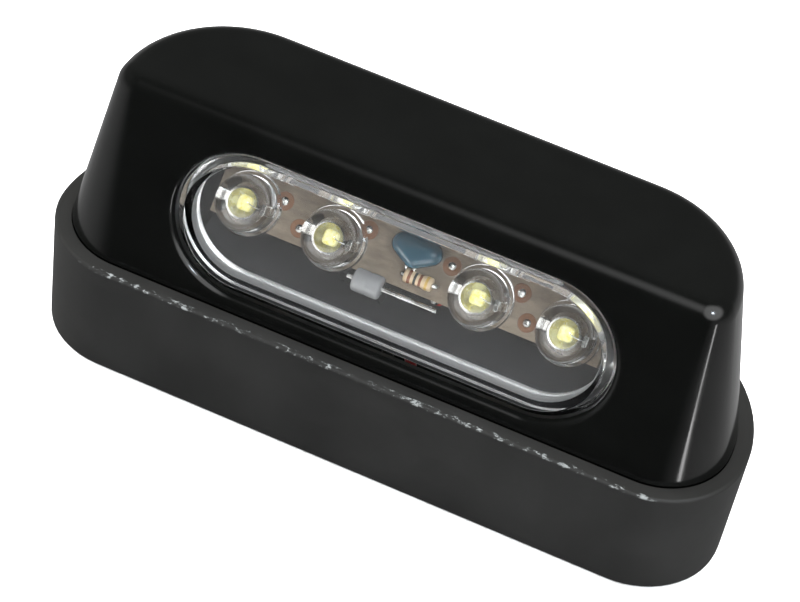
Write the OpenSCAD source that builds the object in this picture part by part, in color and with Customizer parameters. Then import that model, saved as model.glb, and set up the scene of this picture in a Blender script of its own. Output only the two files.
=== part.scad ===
// Number plate lamp: a glossy hood with a slanted window, set in a soft base boot,
// lit by four light-emitting diodes on a tilted circuit board.
// The long axis is X, the window faces -Y, and the underside of the boot lies at z = 0.

/* [Base boot] */
// Length of the boot over its round ends, at the rim
boot_l = 62; // [56:0.5:80]
// Radius of the two front corners of the boot
boot_front_r = 7.5; // [6.5:0.1:9]
// Radius of the two back corners of the boot
boot_back_r = 13.5; // [11:0.1:16]
// Height of the rim above the underside
boot_h = 11.2; // [9:0.1:16]
// How much narrower each side is at the underside
boot_draft = 0.4; // [0:0.1:1]
// Width of the rim that shows round the hood
rim_w = 1.45; // [1:0.05:2]
// Rounding of the rim's outer edge
rim_edge = 0.3; // [0.1:0.05:0.5]
// Thickness of the boot's floor
floor_t = 2.2; // [1.6:0.1:3]

/* [Hood] */
// Height of the lamp from the underside to the roof
lamp_h = 28; // [26:0.5:34]
// Height of the hood's shoulder above the rim
shoulder_gap = 0.1; // [0:0.05:0.5]
// How far the front face leans back from foot to roof
front_lean = 4.1; // [3:0.1:4.5]
// How far the back leans forward from foot to roof
back_lean = 1.9; // [0.5:0.1:3]
// How far each end leans in from foot to roof
end_lean = 2.8; // [1:0.1:4]
// Rounding of the edge round the roof
roof_edge_r = 1.8; // [0.8:0.1:1.9]
// Wall of the hood, measured level
hood_wall = 1.6; // [1.2:0.1:1.7]
// Thickness of the roof
roof_t = 1.8; // [1.4:0.1:2.4]
// Play between the hood's skirt and the boot
skirt_play = 0.15; // [0.05:0.05:0.3]

/* [Window] */
// Distance from each end of the hood's foot to the lens
window_end = 10.35; // [9.6:0.05:11.4]
// Distance from the hood's foot up to the lens, along the face
window_foot = 1.6; // [1.5:0.1:2]
// Distance from the lens up to the roof, along the face
window_roof = 3; // [2.8:0.1:3.4]
// Thickness of the lens front
lens_t = 1.5; // [1.2:0.1:1.6]
// Wall of the lens cup behind its front
cup_wall = 1.1; // [0.8:0.1:1.3]
// Depth of the lens cup
cup_depth = 3.3; // [3:0.1:3.5]
// Width of the bevel round the front of the lens
lens_bevel = 0.7; // [0.3:0.05:0.9]
// Gap between the lens and the opening
lens_gap = 0.2; // [0.1:0.05:0.3]
// Width of the sloping lip round the opening
lip_w = 0.7; // [0.3:0.05:0.9]
// Depth of the sloping lip
lip_t = 0.6; // [0.3:0.05:0.8]
// Reach of the lens flange behind the wall
flange_w = 0.9; // [0.6:0.1:1]
// Thickness of the lens flange
flange_t = 0.8; // [0.6:0.1:1]
// Thickness of the seal between the flange and the wall
seal_t = 0.3; // [0.25:0.05:0.4]
// Play in front of the seal and behind it
seal_play = 0.02; // [0.01:0.01:0.05]

/* [Light board] */
// Tilt of the light's direction above level
light_tilt = 42; // [40:1:44]
// Distance of the row of lights behind the front face
board_back = 6.65; // [6.5:0.05:6.8]
// Distance of the row of lights below the middle of the window, along the face
board_drop = 1.2; // [1.1:0.05:1.4]
// Sideways shift of the board from the middle
board_shift = -0.4; // [-0.5:0.1:0]
// How much shorter the board is than the lens at each end
board_end = 1.7; // [1.5:0.1:2.2]
// Part of the board below the row of lights
board_low = 1.75; // [1.7:0.05:1.9]
// Part of the board above the row of lights
board_high = 6.2; // [5:0.1:6.6]
// Thickness of the board
board_t = 1.5; // [1:0.1:1.6]
// Gap between the end lights and the wall of the lens cup
light_side = 1.3; // [1.1:0.1:1.4]
// Place of the inner lights as a share of the way to the end lights
inner_share = 0.458; // [0.45:0.002:0.47]

/* [Lights] */
// Radius of a light's clear body
light_r = 2.4; // [2.2:0.05:2.5]
// Radius of the flange round its foot
light_flange_r = 2.75; // [2.6:0.05:2.9]
// Thickness of that flange
light_flange_t = 0.8; // [0.6:0.1:1]
// Height of a light from its foot to the top of its dome
light_h = 4.8; // [4.5:0.1:4.9]
// Width of the square legs
leg_w = 0.5; // [0.4:0.05:0.55]
// Distance between the two legs
leg_pitch = 2.54; // [2.4:0.02:2.6]
// Length of the legs behind the board
leg_out = 1.3; // [1:0.1:1.6]
// Radius of the reflector cup at its mouth
reflector_r = 0.95; // [0.8:0.05:1]

/* [Parts on the board] */
// Room between the inner lights and the suppressor
suppressor_side = 1.6; // [1.4:0.1:2]
// Height of the suppressor along the board
suppressor_h = 2.7; // [2.4:0.1:3]
// Thickness of the suppressor
suppressor_t = 2; // [1.6:0.1:2.2]
// Radius of the front resistor
resistor_r = 0.6; // [0.5:0.05:0.65]
// Length of the front resistor's body
resistor_l = 2.5; // [2.2:0.1:2.8]
// Radius of the back resistor
back_resistor_r = 0.9; // [0.7:0.05:1]
// Length of the back resistor's body
back_resistor_l = 4; // [3.5:0.1:5]
// Radius of the diode
diode_r = 1.2; // [1:0.05:1.25]
// Length of the diode's body
diode_l = 2.5; // [2.2:0.1:2.7]
// Radius of the parts' wires
wire_r = 0.25; // [0.2:0.01:0.3]

/* [Base plate] */
// Thickness of the plate that closes the hood
plate_t = 2; // [1.6:0.1:2.4]
// Play round the plate
plate_play = 0.12; // [0.05:0.01:0.3]
// Drop of the shelf in front of the board below the hood's foot
shelf_drop = 1.1; // [1.1:0.1:1.5]
// Thickness of the shelf
shelf_t = 1.3; // [1:0.1:1.6]
// Thickness of the ribs that carry the board
rib_t = 2; // [1.6:0.1:2.4]
// Reach of the ribs in front of the row of lights, under the shelf
rib_front = 2.4; // [2:0.1:3]
// Reach of the ribs behind the shelf
rib_back = 2.1; // [1.8:0.1:2.4]
// Radius of the pegs that hold the board
peg_r = 0.75; // [0.6:0.05:0.9]
// Radius of the flattened heads on the pegs
peg_head_r = 1.25; // [1.1:0.05:1.4]
// Height of the pegs above the row of lights, along the board
peg_u = 4.6; // [4.2:0.1:4.8]

/* [Fixings] */
// Gap between the lens flange and the bosses that hold the threaded inserts
boss_gap = 0.3; // [0.2:0.05:0.5]
// Radius of those bosses
boss_r = 3.6; // [3.4:0.1:3.8]
// Radius of a brass insert
insert_r = 2.6; // [2.4:0.1:2.8]
// Length of a brass insert
insert_l = 8; // [6:0.5:10]
// Radius of the thread's core in the insert
thread_r = 1.65; // [1.4:0.05:1.8]
// Radius of the clearance holes in the boot
fixing_hole_r = 2.3; // [2.1:0.1:2.6]
// Gap between each rib and the head of the plate screw beside it
plate_screw_gap = 1.1; // [0.8:0.1:1.4]
// Radius of the plate screws' shanks
screw_r = 1.1; // [0.9:0.05:1.2]
// Radius of the plate screws' heads
screw_head_r = 2; // [1.8:0.1:2.2]
// Length of the plate screws
screw_l = 7; // [6:0.5:8]

/* [Cable inlet] */
// Radius of the hole for the cable
cable_r = 1.9; // [1.5:0.1:2.1]
// Radius of the gland's body
gland_r = 3; // [2.8:0.1:3.3]
// Radius of the gland's collar
gland_collar_r = 3.7; // [3.6:0.05:3.75]
// Height of the gland's nose above the plate
gland_nose_h = 3.4; // [3:0.1:4]
// Distance of the gland behind the shelf
gland_back = 0.85; // [0.8:0.05:0.9]
// Radius of the inner leads over their cover
lead_r = 0.55; // [0.5:0.05:0.6]
// Distance of each lead from the foot of the light beside it
lead_side = 1; // [0.8:0.1:1.2]
// Height of the black lead above the row of lights
black_lead_u = 0.8; // [0.5:0.1:1]
// Length over which a lead leaves the board before it turns down
lead_reach = 2.6; // [2.4:0.1:3]
// Rise of the leads above the gland before they enter it
lead_rise = 5.5; // [5:0.1:6]

/* [Hidden] */

$fn = 64;
// Facets of the shapes that are hulled
hull_fn = 40;
// Thickness of the slices that are hulled
slice = 0.01;
// Overlap of cutters past the faces they cut
past = 0.5;
// Play between a small piece and its hole
small_play = 0.05;
// Play at the ends of the inner leads
lead_gap = 0.1;
// Steps along an inner lead
lead_steps = 12;

// A length rounded to the nearest 0.02 mm
function even(v) = round(v * 50) / 50;

// The centres of both end curves lie on this line
ends_y = boot_front_r - (boot_front_r + boot_back_r) / 2;
foot_z = boot_h + shoulder_gap;
hood_rise = lamp_h - foot_z;
foot_l = boot_l - 2 * rim_w;
foot_front_r = boot_front_r - rim_w;
foot_back_r = boot_back_r - rim_w;
foot_y = ends_y - foot_front_r;
face_lean = atan(front_lean / hood_rise);
// Height of the front face, measured up its slope
face_l = hood_rise / cos(face_lean);
lens_l = even(foot_l - 2 * window_end);
lens_w = even(face_l - window_foot - window_roof);
lens_s = window_foot + lens_w / 2;
// Share of the lean that is reached where the roof's rounding starts
edge_k = (hood_rise - roof_edge_r) / hood_rise;
// Wall of the slanted face, measured square to it
face_wall = hood_wall * cos(face_lean);
plate_z = floor_t;
plate_top = plate_z + plate_t;
// Inner face of the skirt's back wall
skirt_back_y = ends_y + foot_back_r - skirt_play - hood_wall;
screw_post_r = screw_r + 1;
plate_screw_y = skirt_back_y - screw_post_r - 0.4;
flange_depth = face_wall + seal_t + 2 * seal_play;
fixing_x = lens_l / 2 + flange_w + boss_gap + boss_r;
// Row of lights in the side view: below the middle of the window and behind the face
board_s = lens_s - board_drop;
board_y = foot_y + board_s * sin(face_lean) + board_back * cos(face_lean);
board_z = foot_z + board_s * cos(face_lean) - board_back * sin(face_lean);
board_l = lens_l - 2 * board_end;
end_light_x = lens_l / 2 - cup_wall - light_r - light_side;
inner_light_x = end_light_x * inner_share;
light_xs = [-end_light_x, -inner_light_x, inner_light_x, end_light_x];
dome_w = light_h - light_r;
chip_w = 2.2;
rib_x = (end_light_x + inner_light_x) / 2;
plate_screw_x = rib_x + abs(board_shift) + rib_t / 2 + plate_screw_gap + screw_head_r;
// Half of the room between the feet of the inner lights
middle_half = inner_light_x - light_flange_r;
shelf_z = foot_z - shelf_drop;
shelf_back_y = plate_screw_y - screw_post_r - small_play * 3;
gland_y = shelf_back_y + gland_back;
suppressor_x = 0.3;
// Height of the suppressor's lower edge above the row of lights
suppressor_low = 0.1;

// Plan with round front corners and larger round back corners.
// Both pairs of corner centres lie on y = 0, so the ends are smooth.
module end_plan(l, front_r, back_r) {
    for (side = [-1, 1]) translate([side * (l / 2 - front_r), 0]) circle(r = front_r);
    translate([front_r - l / 2, -front_r]) square([l - 2 * front_r, front_r + slice]);
    intersection() {
        for (side = [-1, 1]) translate([side * (l / 2 - back_r), 0]) circle(r = back_r);
        translate([-l / 2, 0]) square([l, back_r]);
    }
    translate([back_r - l / 2, 0]) square([l - 2 * back_r, back_r]);
}

// The round corners of that plan in short edges, for hulls
module hull_corners(l, front_r, back_r) {
    $fn = hull_fn;
    for (side = [-1, 1]) {
        translate([side * (l / 2 - front_r), 0]) circle(r = front_r);
        intersection() {
            translate([side * (l / 2 - back_r), 0]) circle(r = back_r, $fn = 2 * hull_fn);
            translate([-l / 2, 0]) square([l, back_r]);
        }
    }
}

module stadium(l, w) {
    for (side = [-1, 1]) translate([side * (l - w) / 2, 0]) circle(d = w);
    square([l - w, w], center = true);
}

// Frame on the hood's front face: y runs up the face, z points out of it
module on_face(s = 0) {
    translate([0, foot_y, foot_z]) rotate([90 - face_lean, 0, 0]) translate([0, s, 0]) children();
}

// Frame on the board: y runs up the board, z points the way the lights shine
module on_board(x = 0, u = 0) {
    translate([board_shift, board_y, board_z]) rotate([90 - light_tilt, 0, 0])
        translate([x, u, 0]) children();
}

// Place in the side view of a point u up the board and w in front of it
function board_point(u, w) = [
    board_y + u * sin(light_tilt) - w * cos(light_tilt),
    board_z + u * cos(light_tilt) + w * sin(light_tilt)
];

function unit(v) = v / norm(v);

// Point at share t of a smooth curve with end points a, d and handles b, c
function curve_point(a, b, c, d, t) =
    pow(1 - t, 3) * a + 3 * t * pow(1 - t, 2) * b + 3 * pow(t, 2) * (1 - t) * c + pow(t, 3) * d;

// Round tube along a route of points that stays clear of the x direction
module tube(route, r, sides = 8) {
    last = len(route) - 1;
    rings = [
        for (i = [0 : last])
            let (
                along = unit(route[min(i + 1, last)] - route[max(i - 1, 0)]),
                side = unit(cross(along, [1, 0, 0])),
                up = cross(side, along)
            )
            for (j = [0 : sides - 1])
                route[i] + r * (cos(360 * j / sides) * side + sin(360 * j / sides) * up)
    ];
    walls = [
        for (i = [0 : last - 1], j = [0 : sides - 1])
            let (next = (j + 1) % sides)
            [i * sides + j, i * sides + next, (i + 1) * sides + next, (i + 1) * sides + j]
    ];
    start = [for (j = [sides - 1 : -1 : 0]) j];
    end = [for (j = [0 : sides - 1]) last * sides + j];
    polyhedron(points = rings, faces = concat([start, end], walls), convexity = 4);
}

// A slice of the hood: share k of the lean, drawn in by a distance, at a height
module hood_slice(k, inset, z) {
    translate([0, ends_y, z])
        linear_extrude(slice)
        hull_corners(
            foot_l - 2 * end_lean * k - 2 * inset,
            max(foot_front_r - front_lean * k - inset, 0.4),
            foot_back_r - back_lean * k - inset
        );
}

// Outer form of the hood above the rim, with its rounded roof edge
module hood_form() {
    hull() {
        hood_slice(0, 0, foot_z);
        for (t = [0 : 15 : 90])
            hood_slice(edge_k, roof_edge_r * (1 - cos(t)),
                lamp_h - roof_edge_r * (1 - sin(t)) - slice);
    }
}

// Hollow of the hood above the rim
module hood_hollow() {
    roof_z = lamp_h - roof_t;
    corner = 0.6;
    k = (roof_z - corner - foot_z) / hood_rise;
    hull() {
        hood_slice(0, hood_wall, foot_z - slice);
        hood_slice(k, hood_wall, roof_z - corner);
        hood_slice(k, hood_wall + corner, roof_z - slice);
    }
}

// Straight skirt that stands in the boot
module hood_skirt(inset, low_z = floor_t) {
    translate([0, ends_y, low_z])
        linear_extrude(foot_z - low_z)
        end_plan(foot_l - 2 * inset, foot_front_r - inset, foot_back_r - inset);
}

module window_cut() {
    open_l = lens_l + 2 * lens_gap;
    open_w = lens_w + 2 * lens_gap;
    on_face(lens_s) {
        translate([0, 0, -face_wall - past]) linear_extrude(face_wall + 2 * past) stadium(open_l, open_w);
        hull() {
            translate([0, 0, -lip_t]) linear_extrude(slice) stadium(open_l, open_w, $fn = hull_fn);
            translate([0, 0, slice]) linear_extrude(slice)
                stadium(open_l + 2 * lip_w, open_w + 2 * lip_w, $fn = hull_fn);
        }
    }
}

// Post on the back wall that a plate screw bites into
module plate_screw_post(side) {
    post_h = screw_l - plate_t + 1.5;
    translate([side * plate_screw_x, plate_screw_y, plate_top]) {
        cylinder(r = screw_post_r, h = post_h);
        translate([-screw_post_r, 0, 0])
            cube([2 * screw_post_r, skirt_back_y - plate_screw_y + hood_wall / 4, post_h]);
    }
}

module hood() {
    relief = 2.5;
    color([0.02, 0.02, 0.022]) difference() {
        union() {
            difference() {
                union() {
                    hood_form();
                    hood_skirt(skirt_play);
                }
                hood_hollow();
                hood_skirt(skirt_play + hood_wall, floor_t - past);
            }
            for (side = [-1, 1]) {
                intersection() {
                    translate([side * fixing_x, ends_y, floor_t])
                        cylinder(r = boss_r, h = lamp_h - floor_t - roof_t / 2);
                    union() {
                        hood_form();
                        hood_skirt(skirt_play + hood_wall / 2);
                    }
                }
                plate_screw_post(side);
            }
        }
        window_cut();
        for (side = [-1, 1]) {
            translate([side * fixing_x, ends_y, floor_t - past])
                cylinder(r = insert_r, h = insert_l + past);
            translate([side * fixing_x, ends_y, floor_t])
                cylinder(r = thread_r + 0.3, h = insert_l + relief);
            translate([side * plate_screw_x, plate_screw_y, plate_top - past])
                cylinder(r = screw_r, h = screw_l - plate_t + past);
        }
    }
}

module base_boot() {
    module boot_slice(inset, z) {
        translate([0, ends_y, z]) linear_extrude(slice)
            hull_corners(boot_l - 2 * inset, boot_front_r - inset, boot_back_r - inset);
    }
    color([0.19, 0.19, 0.18]) difference() {
        hull() {
            boot_slice(boot_draft, 0);
            boot_slice(0, boot_h - rim_edge);
            boot_slice(rim_edge, boot_h - slice);
        }
        translate([0, ends_y, floor_t]) linear_extrude(boot_h)
            end_plan(foot_l, foot_front_r, foot_back_r);
        for (side = [-1, 1])
            translate([side * fixing_x, ends_y, -past]) cylinder(r = fixing_hole_r, h = floor_t + 2 * past);
        translate([0, gland_y, -past]) cylinder(r = gland_r + small_play, h = floor_t + 2 * past);
    }
}

module lens() {
    color([0.9, 0.93, 0.95, 0.35]) on_face(lens_s) {
        hull() {
            translate([0, 0, -slice]) linear_extrude(slice)
                stadium(lens_l - 2 * lens_bevel, lens_w - 2 * lens_bevel, $fn = hull_fn);
            translate([0, 0, -lens_bevel]) linear_extrude(slice) stadium(lens_l, lens_w, $fn = hull_fn);
            translate([0, 0, -lens_t]) linear_extrude(slice) stadium(lens_l, lens_w, $fn = hull_fn);
        }
        translate([0, 0, -cup_depth]) linear_extrude(cup_depth - lens_t + slice) difference() {
            stadium(lens_l, lens_w);
            stadium(lens_l - 2 * cup_wall, lens_w - 2 * cup_wall);
        }
        translate([0, 0, -flange_depth - flange_t]) linear_extrude(flange_t) difference() {
            stadium(lens_l + 2 * flange_w, lens_w + 2 * flange_w);
            stadium(lens_l - cup_wall, lens_w - cup_wall);
        }
    }
}

module lens_seal() {
    color([0.1, 0.1, 0.1]) on_face(lens_s)
        translate([0, 0, -flange_depth + seal_play]) linear_extrude(seal_t) difference() {
            stadium(lens_l + 2 * flange_w, lens_w + 2 * flange_w);
            stadium(lens_l + 2 * small_play, lens_w + 2 * small_play);
        }
}

// Rib under the board, drawn in the side view, with a peg through the board
module board_rib(x) {
    low = -board_low / 2;
    high = board_high - 1;
    top_t = 0.8;
    front_y = board_y - rib_front;
    back_y = shelf_back_y + rib_back;
    outline = [
        [front_y, plate_top - slice], [back_y, plate_top - slice],
        board_point(high, -board_t - top_t), board_point(high, -board_t), board_point(low, -board_t),
        [shelf_back_y, shelf_z - shelf_t / 2], [front_y, shelf_z - shelf_t / 2]
    ];
    translate([board_shift + x + rib_t / 2, 0, 0]) rotate([90, 0, -90])
        linear_extrude(rib_t) mirror([1, 0]) polygon(outline);
    on_board(x, peg_u) {
        translate([0, 0, -board_t - 0.2]) cylinder(r = peg_r, h = board_t + 0.4, $fn = 32);
        translate([0, 0, small_play]) cylinder(r1 = peg_head_r, r2 = peg_r, h = 0.6, $fn = 32);
    }
}

// Outline of the base plate, straight in front of each boss so that no thin horn is left
module plate_outline(inset) {
    boss_room = boss_r + plate_play;
    translate([0, ends_y]) difference() {
        end_plan(foot_l - 2 * inset, foot_front_r - inset, foot_back_r - inset);
        for (side = [-1, 1]) translate([side * fixing_x, 0]) {
            circle(r = boss_room);
            translate([side > 0 ? 0 : -foot_l, -boot_front_r])
                square([foot_l, boot_front_r + boss_room]);
        }
    }
}

module base_plate() {
    inset = skirt_play + hood_wall + plate_play;
    color([0.3, 0.3, 0.3]) {
        difference() {
            translate([0, 0, plate_z]) linear_extrude(plate_t) plate_outline(inset);
            for (side = [-1, 1]) {
                translate([side * plate_screw_x, plate_screw_y, plate_z - past])
                    cylinder(r = screw_r + small_play, h = plate_t + 2 * past);
                translate([side * plate_screw_x, plate_screw_y, plate_z])
                    cylinder(r1 = screw_head_r + small_play, r2 = screw_r + small_play,
                        h = screw_head_r - screw_r);
            }
            translate([0, gland_y, plate_z - past])
                cylinder(r = gland_r + small_play, h = plate_t + 2 * past);
        }
        // Shelf that closes the view below the board
        translate([0, 0, shelf_z - shelf_t]) linear_extrude(shelf_t) intersection() {
            plate_outline(inset);
            translate([-lens_l / 2, -boot_l]) square([lens_l, boot_l + shelf_back_y]);
        }
        for (side = [-1, 1]) board_rib(side * rib_x);
    }
}

module circuit_board() {
    color([0.78, 0.7, 0.56]) difference() {
        on_board() translate([-board_l / 2, -board_low, -board_t]) cube([board_l, board_low + board_high, board_t]);
        for (x = light_xs, side = [-1, 1])
            on_board(x + side * leg_pitch / 2) translate([0, 0, -board_t - past])
                cylinder(r = leg_w, h = board_t + 2 * past, $fn = 24);
        for (side = [-1, 1])
            on_board(side * rib_x, peg_u) translate([0, 0, -board_t - past])
                cylinder(r = peg_r + small_play, h = board_t + 2 * past, $fn = 32);
    }
}

module light_chip(n) {
    color([0.95, 0.9, 0.45]) on_board(light_xs[n])
        translate([0, 0, chip_w - 0.3]) cylinder(r = reflector_r - 0.25, h = 0.3, $fn = 32);
}

// Metal frame of one light: the cup on its leg, and the second leg beside it
module light_frame(n) {
    cup_h = 1;
    legs_h = board_t + leg_out;
    color([0.8, 0.8, 0.8]) on_board(light_xs[n]) {
        difference() {
            translate([0, 0, chip_w + 0.3 - cup_h]) cylinder(r = reflector_r, h = cup_h, $fn = 32);
            translate([0, 0, chip_w - 0.3]) cylinder(r1 = reflector_r - 0.25, r2 = reflector_r - 0.1, h = 1, $fn = 32);
        }
        translate([-leg_pitch / 2 - leg_w / 2, -leg_w / 2, -legs_h])
            cube([leg_w, leg_w, legs_h + chip_w - 0.5]);
        translate([-leg_pitch / 2, -leg_w / 2, chip_w - 0.7]) cube([leg_pitch / 2, leg_w, 0.2]);
        translate([leg_pitch / 2 - leg_w / 2, -leg_w / 2, -legs_h])
            cube([leg_w, leg_w, legs_h + chip_w + 0.2]);
    }
}

module light_body(n) {
    color([0.95, 0.95, 0.95, 0.35]) on_board(light_xs[n]) difference() {
        rotate_extrude() {
            square([light_flange_r, light_flange_t]);
            square([light_r, dome_w]);
            intersection() {
                translate([0, dome_w]) circle(r = light_r);
                translate([0, dome_w - slice]) square(light_r + 1);
            }
        }
        translate([0, 0, 1]) cylinder(r = reflector_r + small_play, h = chip_w + 0.35 - 1, $fn = 32);
        translate([-leg_pitch / 2 - leg_w / 2 - small_play, -leg_w / 2 - small_play, -past])
            cube([leg_w + 2 * small_play, leg_w + 2 * small_play, past + chip_w - 0.45]);
        translate([-leg_pitch / 2, -leg_w / 2 - small_play, chip_w - 0.75])
            cube([leg_pitch / 2, leg_w + 2 * small_play, 0.3]);
        translate([leg_pitch / 2 - leg_w / 2 - small_play, -leg_w / 2 - small_play, -past])
            cube([leg_w + 2 * small_play, leg_w + 2 * small_play, past + chip_w + 0.25]);
    }
}

// Dipped part between the two pairs of lights, narrower at its legs
module suppressor() {
    round_r = suppressor_t / 2;
    half_w = middle_half - suppressor_side - round_r;
    color([0.08, 0.2, 0.3]) on_board(suppressor_x, suppressor_low + round_r)
        translate([0, 0, round_r + small_play]) hull() {
            sphere(r = round_r, $fn = 24);
            for (side = [-1, 1])
                translate([side * half_w, suppressor_h - 2 * round_r, 0]) sphere(r = round_r, $fn = 24);
        }
}

// Resistor or diode with wire ends, lying along x in its own frame
module axial_part(body_l, body_r, left_wire, right_wire) {
    rotate([0, 90, 0]) {
        cylinder(r = body_r * 0.9, h = body_l, center = true, $fn = 32);
        for (end = [-1, 1]) translate([0, 0, end * (body_l / 2 - body_r * 0.5)])
            cylinder(r = body_r, h = body_r, center = true, $fn = 32);
        translate([0, 0, -body_l / 2 - left_wire])
            cylinder(r = wire_r, h = body_l + left_wire + right_wire, $fn = 16);
    }
}

module front_resistor() {
    end_gap = 1;
    wire_l = 0.35;
    x = middle_half - end_gap - wire_l - resistor_l / 2;
    color([0.82, 0.68, 0.48]) on_board(x, suppressor_low - small_play - resistor_r)
        translate([0, 0, resistor_r + small_play]) axial_part(resistor_l, resistor_r, wire_l, wire_l);
}

module back_resistor() {
    wire_l = back_resistor_l * 0.4;
    color([0.82, 0.68, 0.48]) on_board(0, board_high * 0.65)
        translate([0, 0, -board_t - back_resistor_r - small_play])
        axial_part(back_resistor_l, back_resistor_r, wire_l, wire_l);
}

module diode() {
    lap = diode_r / 2;
    end_gap = 0.15;
    x = diode_l / 2 + end_gap - middle_half;
    right_wire = 2 * (middle_half - end_gap) - diode_l;
    color([0.5, 0.5, 0.5]) on_board(x, -board_low - lap) translate([0, 0, diode_r + small_play])
        axial_part(diode_l, diode_r, lap, right_wire);
}

// Inner lead from a point on the back of the board, over the shelf, down to the gland
module inner_lead(x, u) {
    side = sign(x);
    start = board_point(u, -board_t - lead_gap - lead_r * sin(light_tilt));
    end = [side * (lead_r + lead_gap), gland_y, plate_top + gland_nose_h + lead_gap];
    first = [board_shift + x, start[0], start[1]];
    route = [
        for (i = [0 : lead_steps])
            curve_point(
                first, first + [0, lead_reach, 0],
                end + [0, lead_reach * 0.3, lead_rise], end, i / lead_steps
            )
    ];
    tube(route, lead_r);
}

module red_lead() {
    color([0.7, 0.05, 0.05]) inner_lead(middle_half - lead_side, -board_low + lead_gap / 2);
}

module black_lead() {
    color([0.03, 0.03, 0.03]) inner_lead(-middle_half + lead_side, black_lead_u);
}

module cable_gland() {
    low_z = 0.4;
    collar_t = 1;
    color([0.06, 0.06, 0.06]) translate([0, gland_y, 0]) rotate_extrude() difference() {
        union() {
            translate([0, low_z]) square([gland_r, plate_top - low_z + slice]);
            translate([0, plate_top]) square([gland_collar_r, collar_t]);
            polygon([
                [0, plate_top + collar_t - slice], [gland_r, plate_top + collar_t - slice],
                [cable_r + 0.6, plate_top + gland_nose_h], [0, plate_top + gland_nose_h]
            ]);
        }
        translate([0, -past]) square([cable_r, plate_top + gland_nose_h + 2 * past]);
    }
}

module thread_insert(side) {
    groove = 0.25;
    color([0.78, 0.6, 0.3]) translate([side * fixing_x, ends_y, floor_t]) rotate_extrude() difference() {
        translate([thread_r, 0]) square([insert_r - small_play - thread_r, insert_l - small_play]);
        translate([insert_r - small_play - groove, insert_l * 0.42]) square([groove + past, insert_l * 0.16]);
    }
}

module plate_screw(side) {
    cone_h = screw_head_r - screw_r;
    color([0.7, 0.7, 0.68]) translate([side * plate_screw_x, plate_screw_y, plate_z]) {
        cylinder(r1 = screw_head_r, r2 = screw_r - small_play, h = cone_h);
        translate([0, 0, cone_h - slice]) cylinder(r = screw_r - small_play, h = screw_l - cone_h - 1);
        translate([0, 0, screw_l - 1 - 2 * slice]) cylinder(r1 = screw_r - small_play, r2 = 0.3, h = 0.8);
    }
}

base_boot();
hood();
lens();
lens_seal();
base_plate();
circuit_board();
light_body(0);  // light_body_1
light_body(1);  // light_body_2
light_body(2);  // light_body_3
light_body(3);  // light_body_4
light_frame(0);  // light_frame_1
light_frame(1);  // light_frame_2
light_frame(2);  // light_frame_3
light_frame(3);  // light_frame_4
light_chip(0);  // light_chip_1
light_chip(1);  // light_chip_2
light_chip(2);  // light_chip_3
light_chip(3);  // light_chip_4
suppressor();
front_resistor();
back_resistor();
diode();
red_lead();
black_lead();
cable_gland();
thread_insert(-1);  // thread_insert_left
thread_insert(1);  // thread_insert_right
plate_screw(-1);  // plate_screw_left
plate_screw(1);  // plate_screw_right
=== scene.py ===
"""Looks of the number plate lamp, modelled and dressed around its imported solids."""
import logging
import math
from collections.abc import Callable, Iterator, Sequence
from contextlib import contextmanager
from dataclasses import dataclass, field
from enum import Enum

import bmesh
import bpy
from mathutils import Matrix, Vector


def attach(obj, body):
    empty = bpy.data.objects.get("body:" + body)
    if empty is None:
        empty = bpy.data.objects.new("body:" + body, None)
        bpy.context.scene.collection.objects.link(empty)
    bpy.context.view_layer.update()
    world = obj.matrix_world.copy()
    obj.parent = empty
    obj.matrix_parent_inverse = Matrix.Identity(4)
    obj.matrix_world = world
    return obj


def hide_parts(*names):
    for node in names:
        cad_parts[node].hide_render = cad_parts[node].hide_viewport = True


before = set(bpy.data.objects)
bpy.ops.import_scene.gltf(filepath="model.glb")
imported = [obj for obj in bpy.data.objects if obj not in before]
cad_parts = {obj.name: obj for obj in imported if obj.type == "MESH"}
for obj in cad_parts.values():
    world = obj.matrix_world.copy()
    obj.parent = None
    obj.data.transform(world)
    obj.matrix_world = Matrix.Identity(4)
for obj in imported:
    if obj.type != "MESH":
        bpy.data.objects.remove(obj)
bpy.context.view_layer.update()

LOG = logging.getLogger("plate_lamp")
MM = 0.001
GLINT_TOWARD = (0.45, -0.5, 0.74)

Triple = tuple[float, float, float]


class Side(Enum):
    """The two ends of the lamp, by the sign of X."""

    LEFT = -1
    RIGHT = 1


@dataclass(frozen=True)
class Plan:
    """A plan with two front and two back corner radii, whose centres share one line (mm)."""

    length: float
    front_r: float
    back_r: float
    centre_y: float = 0.0

    def grown(self, by: float) -> "Plan":
        """The same plan with its outline moved outwards by a distance."""
        return Plan(self.length + 2 * by, self.front_r + by, self.back_r + by, self.centre_y)


def stadium(length: float, width: float) -> Plan:
    """A plan with round ends, centred on the origin.

    Args:
        length: Length over the round ends, mm.
        width: Width across, mm.

    Returns:
        The plan.
    """
    return Plan(length, width / 2, width / 2)


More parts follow.
